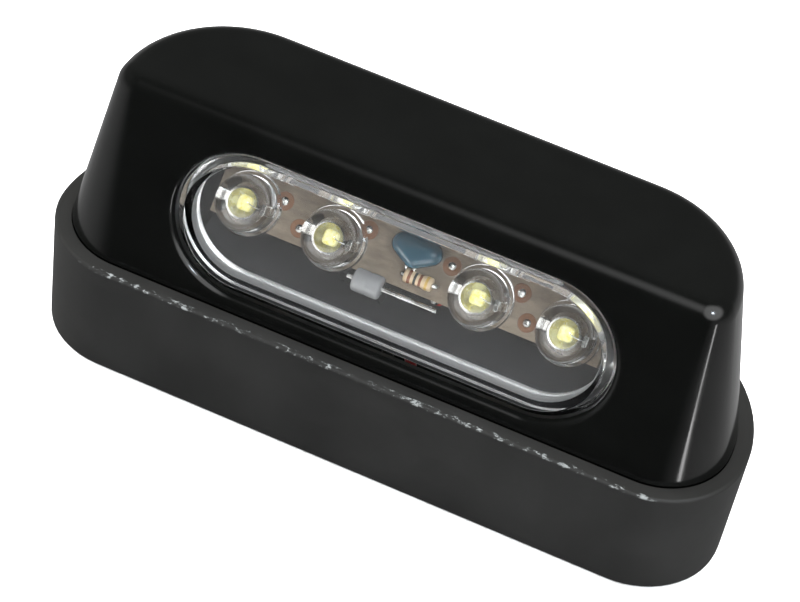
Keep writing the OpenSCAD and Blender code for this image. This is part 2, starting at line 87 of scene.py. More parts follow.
@dataclass(frozen=True)
class LampSizes:
    """The lamp's driving sizes in millimetres, as the solids have them."""

    boot_l: float = 62.0
    boot_front_r: float = 7.5
    boot_back_r: float = 13.5
    boot_h: float = 11.2
    boot_draft: float = 0.4
    rim_w: float = 1.45
    rim_edge: float = 0.3
    floor_t: float = 2.2
    lamp_h: float = 28.0
    shoulder_gap: float = 0.1
    front_lean: float = 4.1
    back_lean: float = 1.9
    end_lean: float = 2.8
    roof_edge_r: float = 1.8
    hood_wall: float = 1.6
    roof_t: float = 1.8
    skirt_play: float = 0.15
    window_end: float = 10.35
    window_foot: float = 1.6
    window_roof: float = 3.0
    lens_t: float = 1.5
    cup_wall: float = 1.1
    cup_depth: float = 3.3
    lens_bevel: float = 0.7
    lens_gap: float = 0.2
    lip_r: float = 0.7
    flange_w: float = 0.9
    flange_t: float = 0.8
    seal_t: float = 0.3
    seal_play: float = 0.02
    light_tilt: float = 42.0
    board_back: float = 6.65
    board_drop: float = 1.2
    board_shift: float = -0.4
    board_low: float = 1.75
    board_high: float = 6.2
    board_t: float = 1.5
    light_side: float = 1.3
    inner_share: float = 0.458
    light_r: float = 2.4
    light_flange_r: float = 2.75
    light_flange_t: float = 0.8
    light_h: float = 4.8
    leg_w: float = 0.5
    leg_pitch: float = 2.54
    leg_out: float = 1.3
    reflector_r: float = 0.95
    plate_t: float = 2.0
    boss_gap: float = 0.3
    boss_r: float = 3.6
    insert_r: float = 2.6
    insert_l: float = 8.0
    thread_r: float = 1.65
    fixing_hole_r: float = 2.3
    plate_screw_gap: float = 1.1
    rib_t: float = 2.0
    screw_r: float = 1.1
    screw_head_r: float = 2.0
    screw_l: float = 7.0
    cable_r: float = 1.9
    gland_r: float = 3.0
    gland_collar_r: float = 3.7
    gland_nose_h: float = 3.4
    gland_back: float = 0.85
    lead_r: float = 0.55
    lead_side: float = 1.0
    lead_reach: float = 2.6
    lead_rise: float = 5.5
    small_play: float = 0.05
    lead_gap: float = 0.1

    @property
    def ends_y(self) -> float:
        """Line on which all corner centres lie."""
        return self.boot_front_r - (self.boot_front_r + self.boot_back_r) / 2

    @property
    def foot_z(self) -> float:
        """Height of the hood's foot."""
        return self.boot_h + self.shoulder_gap

    @property
    def hood_rise(self) -> float:
        """Height of the hood above its foot."""
        return self.lamp_h - self.foot_z

    @property
    def face_lean(self) -> float:
        """Lean of the front face in radians."""
        return math.atan(self.front_lean / self.hood_rise)

    @property
    def face_wall(self) -> float:
        """Wall of the front face, square to it."""
        return self.hood_wall * math.cos(self.face_lean)

    @property
    def lens_l(self) -> float:
        """Length of the lens."""
        return self.boot_l - 2 * self.rim_w - 2 * self.window_end

    @property
    def lens_w(self) -> float:
        """Height of the lens along the face."""
        face_l = self.hood_rise / math.cos(self.face_lean)
        return round((face_l - self.window_foot - self.window_roof) * 50) / 50

    @property
    def lens_s(self) -> float:
        """Height of the middle of the lens above the foot, along the face."""
        return self.window_foot + self.lens_w / 2

    @property
    def flange_depth(self) -> float:
        """Depth of the lens flange's front behind the face."""
        return self.face_wall + self.seal_t + 2 * self.seal_play

    @property
    def fixing_x(self) -> float:
        """Distance of each fixing thread from the middle."""
        return self.lens_l / 2 + self.flange_w + self.boss_gap + self.boss_r

    @property
    def light_xs(self) -> tuple[float, ...]:
        """Places of the lights along the board."""
        end = self.lens_l / 2 - self.cup_wall - self.light_r - self.light_side
        return -end, -end * self.inner_share, end * self.inner_share, end

    @property
    def middle_half(self) -> float:
        """Half of the room between the feet of the inner lights."""
        return self.light_xs[2] - self.light_flange_r

    @property
    def plate_top(self) -> float:
        """Height of the base plate's upper face."""
        return self.floor_t + self.plate_t

    @property
    def plate_screw_x(self) -> float:
        """Distance of each plate screw from the middle."""
        rib_x = (self.light_xs[2] + self.light_xs[3]) / 2
        return rib_x + abs(self.board_shift) + self.rib_t / 2 + self.plate_screw_gap + self.screw_head_r

    @property
    def plate_screw_y(self) -> float:
        """Place of the plate screws, front to back."""
        skirt_back = self.ends_y + self.boot_back_r - self.rim_w - self.skirt_play - self.hood_wall
        return skirt_back - (self.screw_r + 1) - 0.4

    @property
    def gland_y(self) -> float:
        """Place of the cable gland, front to back."""
        return self.plate_screw_y - (self.screw_r + 1) - 3 * self.small_play + self.gland_back

    def boot_plan(self) -> Plan:
        """Outline of the boot at its rim."""
        return Plan(self.boot_l, self.boot_front_r, self.boot_back_r, self.ends_y)

    def hood_plan(self, share: float, inset: float = 0.0) -> Plan:
        """Outline of the hood at a share of its lean.

        Args:
            share: 0 at the foot and 1 at the roof.
            inset: Distance by which the outline is drawn in, mm.

        Returns:
            The plan at that height.
        """
        length = self.boot_l - 2 * self.rim_w - 2 * self.end_lean * share
        front_r = self.boot_front_r - self.rim_w - self.front_lean * share
        back_r = self.boot_back_r - self.rim_w - self.back_lean * share
        return Plan(length, front_r, back_r, self.ends_y).grown(-inset)

    def on_face(self, up: float, out: float = 0.0) -> Matrix:
        """Frame on the front face: y runs up the face and z points out of it.

        Args:
            up: Distance above the hood's foot, along the face, mm.
            out: Distance in front of the face, mm.

        Returns:
            The frame as a matrix in metres.
        """
        foot_y = self.ends_y - (self.boot_front_r - self.rim_w)
        turn = Matrix.Rotation(math.pi / 2 - self.face_lean, 4, "X")
        foot = Matrix.Translation(Vector((0.0, foot_y, self.foot_z)) * MM)
        return foot @ turn @ Matrix.Translation(Vector((0.0, up, out)) * MM)

    def on_board(self, x: float = 0.0, up: float = 0.0, out: float = 0.0) -> Matrix:
        """Frame on the board: y runs up the board and z points the way the lights shine.

        Args:
            x: Distance along the board, mm.
            up: Distance above the row of lights, along the board, mm.
            out: Distance in front of the board, mm.

        Returns:
            The frame as a matrix in metres.
        """
        row = self.on_face(self.lens_s - self.board_drop, -self.board_back).translation
        row.x = self.board_shift * MM
        turn = Matrix.Rotation(math.radians(90 - self.light_tilt), 4, "X")
        return Matrix.Translation(row) @ turn @ Matrix.Translation(Vector((x, up, out)) * MM)


class Bench:
    """Modelling steps as done by hand: primitives, edit mode and applied modifiers."""

    FRONT_STEPS = 14
    BACK_STEPS = 28

    @staticmethod
    def clear() -> None:
        """Leave edit mode and deselect everything."""
        if bpy.context.object and bpy.context.object.mode != "OBJECT":
            bpy.ops.object.mode_set(mode="OBJECT")
        bpy.ops.object.select_all(action="DESELECT")

    @staticmethod
    def take(obj: bpy.types.Object) -> None:
        """Make one object the only selected and the active one."""
        Bench.clear()
        obj.select_set(True)
        bpy.context.view_layer.objects.active = obj

    @staticmethod
    @contextmanager
    def editing(obj: bpy.types.Object, kind: str = "VERT") -> Iterator[None]:
        """Edit mode on one object with nothing selected.

        Args:
            obj: The object to edit.
            kind: VERT, EDGE or FACE.

        Returns:
            The context in which edit-mode operators act on the object.
        """
        Bench.take(obj)
        bpy.ops.object.mode_set(mode="EDIT")
        bpy.ops.mesh.select_mode(type=kind)
        bpy.ops.mesh.select_all(action="DESELECT")
        yield
        bpy.ops.object.mode_set(mode="OBJECT")

    @staticmethod
    def pick(obj: bpy.types.Object, kind: str, rule: Callable[..., bool]) -> int:
        """Select the vertices, edges or faces of the edited mesh that a rule accepts.

        Args:
            obj: The object in edit mode.
            kind: verts, edges or faces.
            rule: Says of one element whether it is selected.

        Returns:
            How many elements are selected.
        """
        shape = bmesh.from_edit_mesh(obj.data)
        shape.verts.ensure_lookup_table()
        found = 0
        for element in getattr(shape, kind):
            wanted = bool(rule(element))
            element.select_set(wanted)
            found += wanted
        if kind == "verts":
            shape.select_flush(True)
        bmesh.update_edit_mesh(obj.data)
        return found

    @staticmethod
    def settle(obj: bpy.types.Object, place: Matrix | None = None) -> bpy.types.Object:
        """Put an object in its place and move that place into its mesh.

        Args:
            obj: The object.
            place: Frame in which the object was modelled.

        Returns:
            The object, at the origin, unturned and unscaled.
        """
        if place is not None:
            obj.matrix_world = place @ obj.matrix_world
        Bench.take(obj)
        bpy.ops.object.transform_apply(location=True, rotation=True, scale=True)
        return obj

    @staticmethod
    def outward(obj: bpy.types.Object) -> None:
        """Turn all faces outwards."""
        with Bench.editing(obj):
            bpy.ops.mesh.select_all(action="SELECT")
            bpy.ops.mesh.normals_make_consistent(inside=False)

    @staticmethod
    def modify(obj: bpy.types.Object, kind: str, **settings: object) -> None:
        """Add a modifier and apply it.

        Args:
            obj: The object.
            kind: Modifier type.
            settings: Values for the modifier's own settings.
        """
        Bench.take(obj)
        modifier = obj.modifiers.new(kind.title(), kind)
        for name, value in settings.items():
            setattr(modifier, name, value)
        bpy.ops.object.modifier_apply(modifier=modifier.name)

    @staticmethod
    def combine(obj: bpy.types.Object, tool: bpy.types.Object, how: str) -> None:
        """Cut a tool out of an object or add it, and delete the tool.

        Args:
            obj: The object that is kept.
            tool: The shape that cuts or adds.
            how: DIFFERENCE, UNION or INTERSECT.
        """
        Bench.modify(obj, "BOOLEAN", object=tool, operation=how, solver="EXACT")
        bpy.data.objects.remove(tool)

    @staticmethod
    def smooth(obj: bpy.types.Object, degrees: float = 30.0) -> None:
        """Shade smooth below an angle, with flat faces kept flat.

        Args:
            obj: The object.
            degrees: Edges sharper than this stay sharp.
        """
        Bench.take(obj)
        bpy.ops.object.shade_smooth_by_angle(angle=math.radians(degrees))
        Bench.modify(obj, "WEIGHTED_NORMAL", keep_sharp=True, weight=60)

    @staticmethod
    def outline(name: str, plan: Plan, z: float) -> bpy.types.Object:
        """A plan's outline: a plane whose corners are rounded, without its face.

        Args:
            name: Name of the new object.
            plan: The plan, mm.
            z: Height of the outline, mm.

        Returns:
            The outline as an object in millimetres.
        """
        Bench.clear()
        depth = plan.front_r + plan.back_r
        middle = plan.centre_y + (plan.back_r - plan.front_r) / 2
        bpy.ops.mesh.primitive_plane_add(size=1, location=(0, middle, z))
        obj = bpy.context.object
        obj.name = name
        obj.scale = (plan.length, depth, 1)
        Bench.settle(obj)
        with Bench.editing(obj):
            Bench.pick(obj, "verts", lambda v: v.co.y < middle)
            bpy.ops.mesh.bevel(offset=plan.front_r, segments=Bench.FRONT_STEPS, affect="VERTICES",
                               clamp_overlap=False)
            bpy.ops.mesh.select_all(action="DESELECT")
            back = plan.centre_y + plan.back_r - MM
            Bench.pick(obj, "verts", lambda v: v.co.y > back)
            bpy.ops.mesh.bevel(offset=plan.back_r, segments=Bench.BACK_STEPS, affect="VERTICES",
                               clamp_overlap=False)
            bpy.ops.mesh.select_all(action="SELECT")
            bpy.ops.mesh.remove_doubles(threshold=MM)
            bpy.ops.mesh.delete(type="ONLY_FACE")
        return obj

    @staticmethod
    def skin(name: str, rings: Sequence[tuple[Plan, float]], place: Matrix | None = None) -> bpy.types.Object:
        """A closed body through a row of outlines: bridged walls and two caps.

        The outlines are bridged well apart and then moved to their own heights.

        Args:
            name: Name of the new object.
            rings: The outlines with their heights, mm, from one cap to the other.
            place: Frame in metres that the body is put in.

        Returns:
            The body, in metres.
        """
        spread = rings[0][0].length
        parts = [Bench.outline(f"{name}_{i}", plan, i * spread) for i, (plan, _) in enumerate(rings)]
        count = len(parts[0].data.vertices)
        Bench.clear()
        for part in parts:
            part.select_set(True)
        obj = parts[0]
        bpy.context.view_layer.objects.active = obj
        bpy.ops.object.join()
        obj.name = name
        with Bench.editing(obj, "EDGE"):
            for i in range(len(rings) - 1):
                span = range(i * count, (i + 2) * count)
                Bench.pick(obj, "edges", lambda e: all(v.index in span for v in e.verts) and not e.link_faces
                           or all(v.index in range(i * count, (i + 1) * count) for v in e.verts) and i > 0)
                bpy.ops.mesh.bridge_edge_loops()
            for start in (0, (len(rings) - 1) * count):
                span = range(start, start + count)
                Bench.pick(obj, "edges", lambda e: all(v.index in span for v in e.verts))
                bpy.ops.mesh.edge_face_add()
            for i, (_, z) in enumerate(rings):
                Bench.pick(obj, "verts", lambda v: v.index // count == i)
                bpy.ops.transform.translate(value=(0, 0, z - i * spread))
        obj.scale = (MM, MM, MM)
        Bench.settle(obj)
        if place is not None:
            Bench.settle(obj, place)
        Bench.outward(obj)
        return obj

    @staticmethod
    def turned(name: str, profile: Sequence[tuple[float, float]], sides: int = 48,
               place: Matrix | None = None, closed: bool = False) -> bpy.types.Object:
        """A turned piece: a circle that is extruded and resized along a profile.

        Args:
            name: Name of the new object.
            profile: Radius and height of each step, mm. A radius of 0 closes the end.
            sides: Number of sides.
            place: Frame in metres that the piece is put in.
            closed: Join the last step to the first, as on a ring.

        Returns:
            The piece, in metres.
        """
        Bench.clear()
        first_r, first_z = profile[0]
        tiny = 0.001
        bpy.ops.mesh.primitive_circle_add(vertices=sides, radius=max(first_r, tiny), location=(0, 0, first_z))
        obj = bpy.context.object
        obj.name = name
        Bench.settle(obj)
        with Bench.editing(obj, "EDGE"):
            bpy.ops.mesh.select_all(action="SELECT")
            radius, height = max(first_r, tiny), first_z
            for next_r, next_z in profile[1:]:
                next_r = max(next_r, tiny)
                bpy.ops.mesh.extrude_region_move(TRANSFORM_OT_translate={"value": (0, 0, next_z - height)})
                grow = next_r / radius
                bpy.ops.transform.resize(value=(grow, grow, 1), center_override=(0, 0, next_z))
                radius, height = next_r, next_z
            bpy.ops.mesh.select_all(action="SELECT")
            bpy.ops.mesh.remove_doubles(threshold=tiny * 2)
            if not closed:
                bpy.ops.mesh.select_all(action="SELECT")
                bpy.ops.mesh.fill_holes(sides=0)
        obj.scale = (MM, MM, MM)
        Bench.settle(obj)
        if place is not None:
            Bench.settle(obj, place)
        Bench.outward(obj)
        return obj

    @staticmethod
    def box(name: str, low: Sequence[float], high: Sequence[float],
            place: Matrix | None = None) -> bpy.types.Object:
        """A box between two corners, to be shaped further.

        Args:
            name: Name of the new object.
            low: Lowest corner, mm.
            high: Highest corner, mm.
            place: Frame in metres that the box is put in.

        Returns:
            The box, in metres.
        """
        Bench.clear()
        bpy.ops.mesh.primitive_cube_add(size=1, location=[(a + b) / 2 * MM for a, b in zip(low, high)])
        obj = bpy.context.object
        obj.name = name
        obj.scale = [(b - a) * MM for a, b in zip(low, high)]
        Bench.settle(obj)
        return Bench.settle(obj, place) if place is not None else obj

    @staticmethod
    def wire(name: str, route: Sequence[Sequence[float]], radius: float, place: Matrix | None = None,
             steps: int = 8) -> bpy.types.Object:
        """A round wire along a smooth route: a thick curve that is made a mesh.

        Args:
            name: Name of the new object.
            route: Points along the wire, mm.
            radius: Radius of the wire, mm.
            place: Frame in metres that the wire is put in.
            steps: Steps between two points.

        Returns:
            The wire, in metres.
        """
        Bench.clear()
        bpy.ops.curve.primitive_bezier_curve_add(location=(0, 0, 0))
        obj = bpy.context.object
        obj.name = name
        curve = obj.data
        curve.dimensions = "3D"
        points = curve.splines[0].bezier_points
        points.add(len(route) - len(points))
        for point, spot in zip(points, route):
            point.co = Vector(spot) * MM
            point.handle_left_type = point.handle_right_type = "AUTO"
        curve.resolution_u = steps
        curve.bevel_depth = radius * MM
        curve.bevel_resolution = 4
        curve.use_fill_caps = True
        Bench.take(obj)
        bpy.ops.object.convert(target="MESH")
        obj = bpy.context.object
        with Bench.editing(obj):
            bpy.ops.mesh.select_all(action="SELECT")
            bpy.ops.mesh.remove_doubles(threshold=radius * MM / 20)
        Bench.settle(obj, place)
        Bench.outward(obj)
        Bench.smooth(obj, 50)
        return obj

    @staticmethod
    def refined(node: str, name: str, edge: float) -> bpy.types.Object:
        """A copy of a solid's mesh, merged to whole faces and with its edges rounded.

        Args:
            node: The solid.
            name: Name of the copy.
            edge: Width of the rounding, mm.

        Returns:
            The copy.
        """
        obj = bpy.data.objects.new(name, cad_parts[node].data.copy())
        bpy.context.scene.collection.objects.link(obj)
        obj.data.materials.clear()
        with Bench.editing(obj):
            bpy.ops.mesh.select_all(action="SELECT")
            bpy.ops.mesh.remove_doubles(threshold=MM / 500)
            bpy.ops.mesh.dissolve_limited(angle_limit=math.radians(1))
            bpy.ops.mesh.normals_make_consistent(inside=False)
        Bench.modify(obj, "BEVEL", width=edge * MM, segments=2, limit_method="ANGLE", angle_limit=math.radians(40))
        Bench.smooth(obj, 35)
        return obj

    @staticmethod
    def copied(model: bpy.types.Object, name: str, place: Matrix) -> bpy.types.Object:
        """A copy of a piece with its own mesh, in another place.

        Args:
            model: The piece that is copied.
            name: Name of the copy.
            place: Frame in metres that the copy is put in.

        Returns:
            The copy.
        """
        obj = model.copy()
        obj.data = model.data.copy()
        obj.name = name
        bpy.context.scene.collection.objects.link(obj)
        return Bench.settle(obj, place)

    @staticmethod
    def joined(name: str, parts: Sequence[bpy.types.Object]) -> bpy.types.Object:
        """Several parts as one piece, with the finish of each kept.

        Args:
            name: Name of the piece.
            parts: The parts.

        Returns:
            The piece.
        """
        Bench.clear()
        for part in parts:
            part.select_set(True)
        bpy.context.view_layer.objects.active = parts[0]
        bpy.ops.object.join()
        parts[0].name = name
        return parts[0]

    @staticmethod
    def deliver(piece: bpy.types.Object, slot: str, node: str | None = None) -> bpy.types.Object:
        """Tie a piece to the lamp, and hide the solid that it stands for, if there is one.

        Args:
            piece: The finished piece.
            slot: Material slot of the record; not used.
            node: The solid, if the piece stands for one.

        Returns:
            The piece.
        """
        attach(piece, "root")
        if node is not None:
            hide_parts(node)
        LOG.info("%s: %d faces", piece.name, len(piece.data.polygons))
        return piece


class ShaderDesk:
    """A material's node tree, with short calls for nodes and links."""

    def __init__(self, name: str) -> None:
        """Start a material with an empty tree, an output and a shader.

        Args:
            name: Name of the material.
        """
        self.material = bpy.data.materials.new(name)
        self.material.use_nodes = True
        self.tree = self.material.node_tree
        self.tree.nodes.clear()
        self.output = self.tree.nodes.new("ShaderNodeOutputMaterial")
        self.shader = self.tree.nodes.new("ShaderNodeBsdfPrincipled")
        self.link(self.shader, "BSDF", self.output, "Surface")
        self.place = self.tree.nodes.new("ShaderNodeTexCoord")

    def link(self, source: bpy.types.Node, out: str, target: bpy.types.Node, into: str) -> None:
        """Join an output socket to an input socket."""
        self.tree.links.new(source.outputs[out], target.inputs[into])

    def node(self, kind: str, **inputs: object) -> bpy.types.Node:
        """Add a node and set its input sockets by name.

        Args:
            kind: Node type.
            inputs: Socket names, with underscores for spaces, and their values.

        Returns:
            The node.
        """
        node = self.tree.nodes.new(kind)
        for name, value in inputs.items():
            node.inputs[name.replace("_", " ")].default_value = value
        return node

    def noise(self, scale: float, detail: float = 3.0, roughness: float = 0.5,
              stretch: Triple = (1, 1, 1)) -> bpy.types.Node:
        """Noise on object coordinates.

        Args:
            scale: Waves per metre.
            detail: Levels of finer noise.
            roughness: Strength of the finer levels.
            stretch: Scale of the pattern along each axis.

        Returns:
            The noise node.
        """
        mapping = self.node("ShaderNodeMapping", Scale=stretch)
        noise = self.node("ShaderNodeTexNoise", Scale=scale, Detail=detail, Roughness=roughness)
        self.link(self.place, "Object", mapping, "Vector")
        self.link(mapping, "Vector", noise, "Vector")
        return noise

    def ramp(self, source: bpy.types.Node, out: str, stops: Sequence[tuple[float, Triple]]) -> bpy.types.Node:
        """A colour ramp fed by a node.

        Args:
            source: Node that gives the factor.
            out: Its output socket.
            stops: Positions and colours.

        Returns:
            The ramp node.
        """
        ramp = self.tree.nodes.new("ShaderNodeValToRGB")
        while len(ramp.color_ramp.elements) < len(stops):
            ramp.color_ramp.elements.new(0.5)
        for element, (position, colour) in zip(ramp.color_ramp.elements, stops):
            element.position = position
            element.color = (*colour, 1)
        self.link(source, out, ramp, "Fac")
        return ramp

    def spread(self, source: bpy.types.Node, low: float, high: float, into: str, out: str = "Fac") -> None:
        """Map a factor to a range and feed it to the shader.

        Args:
            source: Node that gives the factor.
            low: Value at 0.3.
            high: Value at 0.7.
            into: The shader's socket.
            out: The source's output socket.
        """
        spread = self.node("ShaderNodeMapRange")
        for index, value in ((1, 0.3), (2, 0.7), (3, low), (4, high)):
            spread.inputs[index].default_value = value
        self.link(source, out, spread, "Value")
        self.link(spread, "Result", self.shader, into)

    def bump(self, source: bpy.types.Node, depth: float, strength: float = 1.0, out: str = "Fac",
             under: bpy.types.Node | None = None) -> bpy.types.Node:
        """Bump from a factor.

        Args:
            source: Node that gives the height.
            depth: Height of the bump in metres.
            strength: Share of the bump that shows.
            out: The source's output socket.
            under: Another bump below this one.

        Returns:
            The bump node, linked to the shader.
        """
        bump = self.node("ShaderNodeBump", Strength=strength, Distance=depth)
        self.link(source, out, bump, "Height")
        if under is not None:
            self.link(under, "Normal", bump, "Normal")
        self.link(bump, "Normal", self.shader, "Normal")
        return bump

    def set(self, **sockets: object) -> "ShaderDesk":
        """Set the shader's own sockets."""
        for name, value in sockets.items():
            self.shader.inputs[name.replace("_", " ")].default_value = value
        return self


@dataclass(frozen=True)
class MouldedPlastic:
    """Opaque moulded plastic: fine flow marks in the gloss and a faint uneven skin."""

    name: str
    colour: Triple
    shine: tuple[float, float]
    skin_depth: float = 0.000004
    skin_scale: float = 260.0
    specular: float = 0.5

    def build(self) -> bpy.types.Material:
        """The material, with gloss that varies in patches and fine scuffs.

        Returns:
            The finished material.
        """
        desk = ShaderDesk(self.name)
        desk.set(Specular_IOR_Level=self.specular)
        low, high = self.shine
        patches = desk.noise(170.0, 4.0, 0.55, (1, 1, 1.6))
        desk.spread(patches, low, high, "Roughness")
        darker = tuple(c * 0.7 for c in self.colour)
        tone = desk.ramp(patches, "Fac", [(0.3, darker), (0.7, self.colour)])
        desk.link(tone, "Color", desk.shader, "Base Color")
        skin = desk.noise(self.skin_scale, 2.0)
        under = desk.bump(skin, self.skin_depth)
        scuffs = desk.noise(2600.0, 2.0, 0.6, (1, 0.25, 1))
        desk.bump(scuffs, self.skin_depth / 8, under=under)
        return desk.material


@dataclass(frozen=True)
class SoftRubber:
    """Matt rubber with a fine moulded grain and a dusty bloom."""

    name: str
    colour: Triple
    bloom: Triple
    grain: float = 1500.0
    flash: tuple[float, float] | None = None

    def specks(self, desk: ShaderDesk, tone: bpy.types.Node) -> bpy.types.Node:
        """Pale specks of moulding flash along the front upper edge.

        Args:
            desk: The material's desk.
            tone: Node that gives the colour without specks.

        Returns:
            The node that gives the colour with specks.
        """
        edge_y, edge_z = self.flash
        split = desk.node("ShaderNodeSeparateXYZ")
        desk.link(desk.place, "Object", split, "Vector")
        grain = desk.noise(1900.0, 4.0, 0.75, (0.6, 1, 1))
        ragged = desk.ramp(grain, "Fac", [(0.54, (0, 0, 0)), (0.62, (1, 1, 1))])
        shares = [ragged]
        for axis, start, end in (("Z", edge_z - 0.28, edge_z - 0.16), ("Y", edge_y + 0.5, edge_y + 0.36)):
            share = desk.node("ShaderNodeMapRange")
            for index, value in ((1, start * MM), (2, end * MM), (3, 0.0), (4, 1.0)):
                share.inputs[index].default_value = value
            desk.link(split, axis, share, "Value")
            shares.append(share)
        mask = shares[0]
        for share in shares[1:]:
            both = desk.node("ShaderNodeMath")
            both.operation = "MULTIPLY"
            desk.tree.links.new(mask.outputs[0], both.inputs[0])
            desk.tree.links.new(share.outputs[0], both.inputs[1])
            mask = both
        mix = desk.node("ShaderNodeMix")
        mix.data_type = "RGBA"
        desk.tree.links.new(mask.outputs[0], mix.inputs[0])
        desk.tree.links.new(tone.outputs["Color"], mix.inputs[6])
        mix.inputs[7].default_value = (0.16, 0.17, 0.17, 1)
        return mix

    def build(self) -> bpy.types.Material:
        """The material, with bloom in patches, a bumped grain and flash on the edge.

        Returns:
            The finished material.
        """
        desk = ShaderDesk(self.name)
        desk.set(Specular_IOR_Level=0.4)
        patches = desk.noise(90.0, 5.0, 0.6)
        tone = desk.ramp(patches, "Fac", [(0.35, self.colour), (0.75, self.bloom)])
        if self.flash is None:
            desk.link(tone, "Color", desk.shader, "Base Color")
        else:
            mix = self.specks(desk, tone)
            desk.tree.links.new(mix.outputs[2], desk.shader.inputs["Base Color"])
        desk.spread(patches, 0.52, 0.66, "Roughness")
        grain = desk.noise(self.grain, 3.0, 0.7)
        desk.bump(grain, 0.00002, 0.6)
        return desk.material


@dataclass(frozen=True)
class ClearPlastic:
    """Clear moulded plastic with a faint wave in its skin."""

    name: str
    tint: Triple
    ior: float = 1.49
    roughness: float = 0.015
    wave_depth: float = 0.000006
    mirror: float = 1.0
    haze: float = 0.0

    def build(self) -> bpy.types.Material:
        """The material: clear, or hazy on frosted walls, with a slight uneven skin.

        Returns:
            The finished material.
        """
        desk = ShaderDesk(self.name)
        desk.set(Transmission_Weight=1.0 - self.haze, IOR=self.ior, Roughness=self.roughness,
                 Specular_Tint=(self.mirror, self.mirror, self.mirror, 1))
        clouds = desk.noise(120.0, 2.0)
        paler = tuple(min(1.0, c * 1.02) for c in self.tint)
        tone = desk.ramp(clouds, "Fac", [(0.3, self.tint), (0.7, paler)])
        desk.link(tone, "Color", desk.shader, "Base Color")
        wave = desk.noise(420.0, 2.0)
        desk.bump(wave, self.wave_depth)
        return desk.material


@dataclass(frozen=True)
class PlatedMetal:
    """Drawn or turned metal with fine lines and slight tarnish."""

    name: str
    colour: Triple
    tarnish: Triple
    shine: tuple[float, float] = (0.16, 0.34)

    def build(self) -> bpy.types.Material:
        """The material, metallic, with tarnish in patches.

        Returns:
            The finished material.
        """
        desk = ShaderDesk(self.name)
        desk.set(Metallic=1.0)
        patches = desk.noise(900.0, 4.0, 0.6)
        tone = desk.ramp(patches, "Fac", [(0.35, self.tarnish), (0.6, self.colour)])
        desk.link(tone, "Color", desk.shader, "Base Color")
        low, high = self.shine
        desk.spread(patches, low, high, "Roughness")
        lines = desk.noise(5200.0, 2.0, 0.5, (0.08, 1, 1))
        desk.bump(lines, 0.000003)
        return desk.material


@dataclass(frozen=True)
class Laminate:
    """Beige board laminate: paper fibres, darker blotches and a faint weave."""

    name: str = "board laminate"
    light: Triple = (0.22, 0.17, 0.12)
    dark: Triple = (0.13, 0.095, 0.06)

    def build(self) -> bpy.types.Material:
        """The material, mottled beige with a low sheen.

        Returns:
            The finished material.
        """
        desk = ShaderDesk(self.name)
        fibres = desk.noise(1400.0, 5.0, 0.65, (0.35, 1, 1))
        tone = desk.ramp(fibres, "Fac", [(0.3, self.dark), (0.62, self.light)])
        desk.link(tone, "Color", desk.shader, "Base Color")
        desk.spread(fibres, 0.38, 0.6, "Roughness")
        desk.bump(fibres, 0.00001)
        return desk.material


@dataclass(frozen=True)
class Phosphor:
    """Yellow phosphor under silicone: grainy and slightly glossy."""

    name: str = "chip phosphor"
    colour: Triple = (0.9, 0.78, 0.16)
    pale: Triple = (0.98, 0.95, 0.6)

    def build(self) -> bpy.types.Material:
        """The material, grainy yellow.

        Returns:
            The finished material.
        """
        desk = ShaderDesk(self.name)
        desk.set(Roughness=0.45)
        grains = desk.noise(4200.0, 3.0, 0.6)
        tone = desk.ramp(grains, "Fac", [(0.35, self.colour), (0.7, self.pale)])
        desk.link(tone, "Color", desk.shader, "Base Color")
        desk.bump(grains, 0.00001)
        return desk.material


@dataclass(frozen=True)
class BandedLacquer:
    """Lacquered body with painted rings across X."""

    name: str
    colour: Triple
    middle: float
    length: float
    rings: tuple[tuple[float, float, Triple], ...]

    def build(self) -> bpy.types.Material:
        """The material: rings by their share of the length, on a slightly uneven lacquer.

        Returns:
            The finished material.
        """
        desk = ShaderDesk(self.name)
        desk.set(Roughness=0.28)
        split = desk.node("ShaderNodeSeparateXYZ")
        desk.link(desk.place, "Object", split, "Vector")
        share = desk.node("ShaderNodeMapRange")
        start = (self.middle - self.length / 2) * MM
        for index, value in ((1, start), (2, start + self.length * MM), (3, 0.0), (4, 1.0)):
            share.inputs[index].default_value = value
        desk.link(split, "X", share, "Value")
        stops = [(0.0, self.colour)]
        for low, high, paint in self.rings:
            stops += [(low, paint), (high, self.colour)]
        tone = desk.ramp(share, "Result", stops)
        tone.color_ramp.interpolation = "CONSTANT"
        desk.link(tone, "Color", desk.shader, "Base Color")
        desk.bump(desk.noise(1800.0, 3.0, 0.6), 0.00001)
        return desk.material


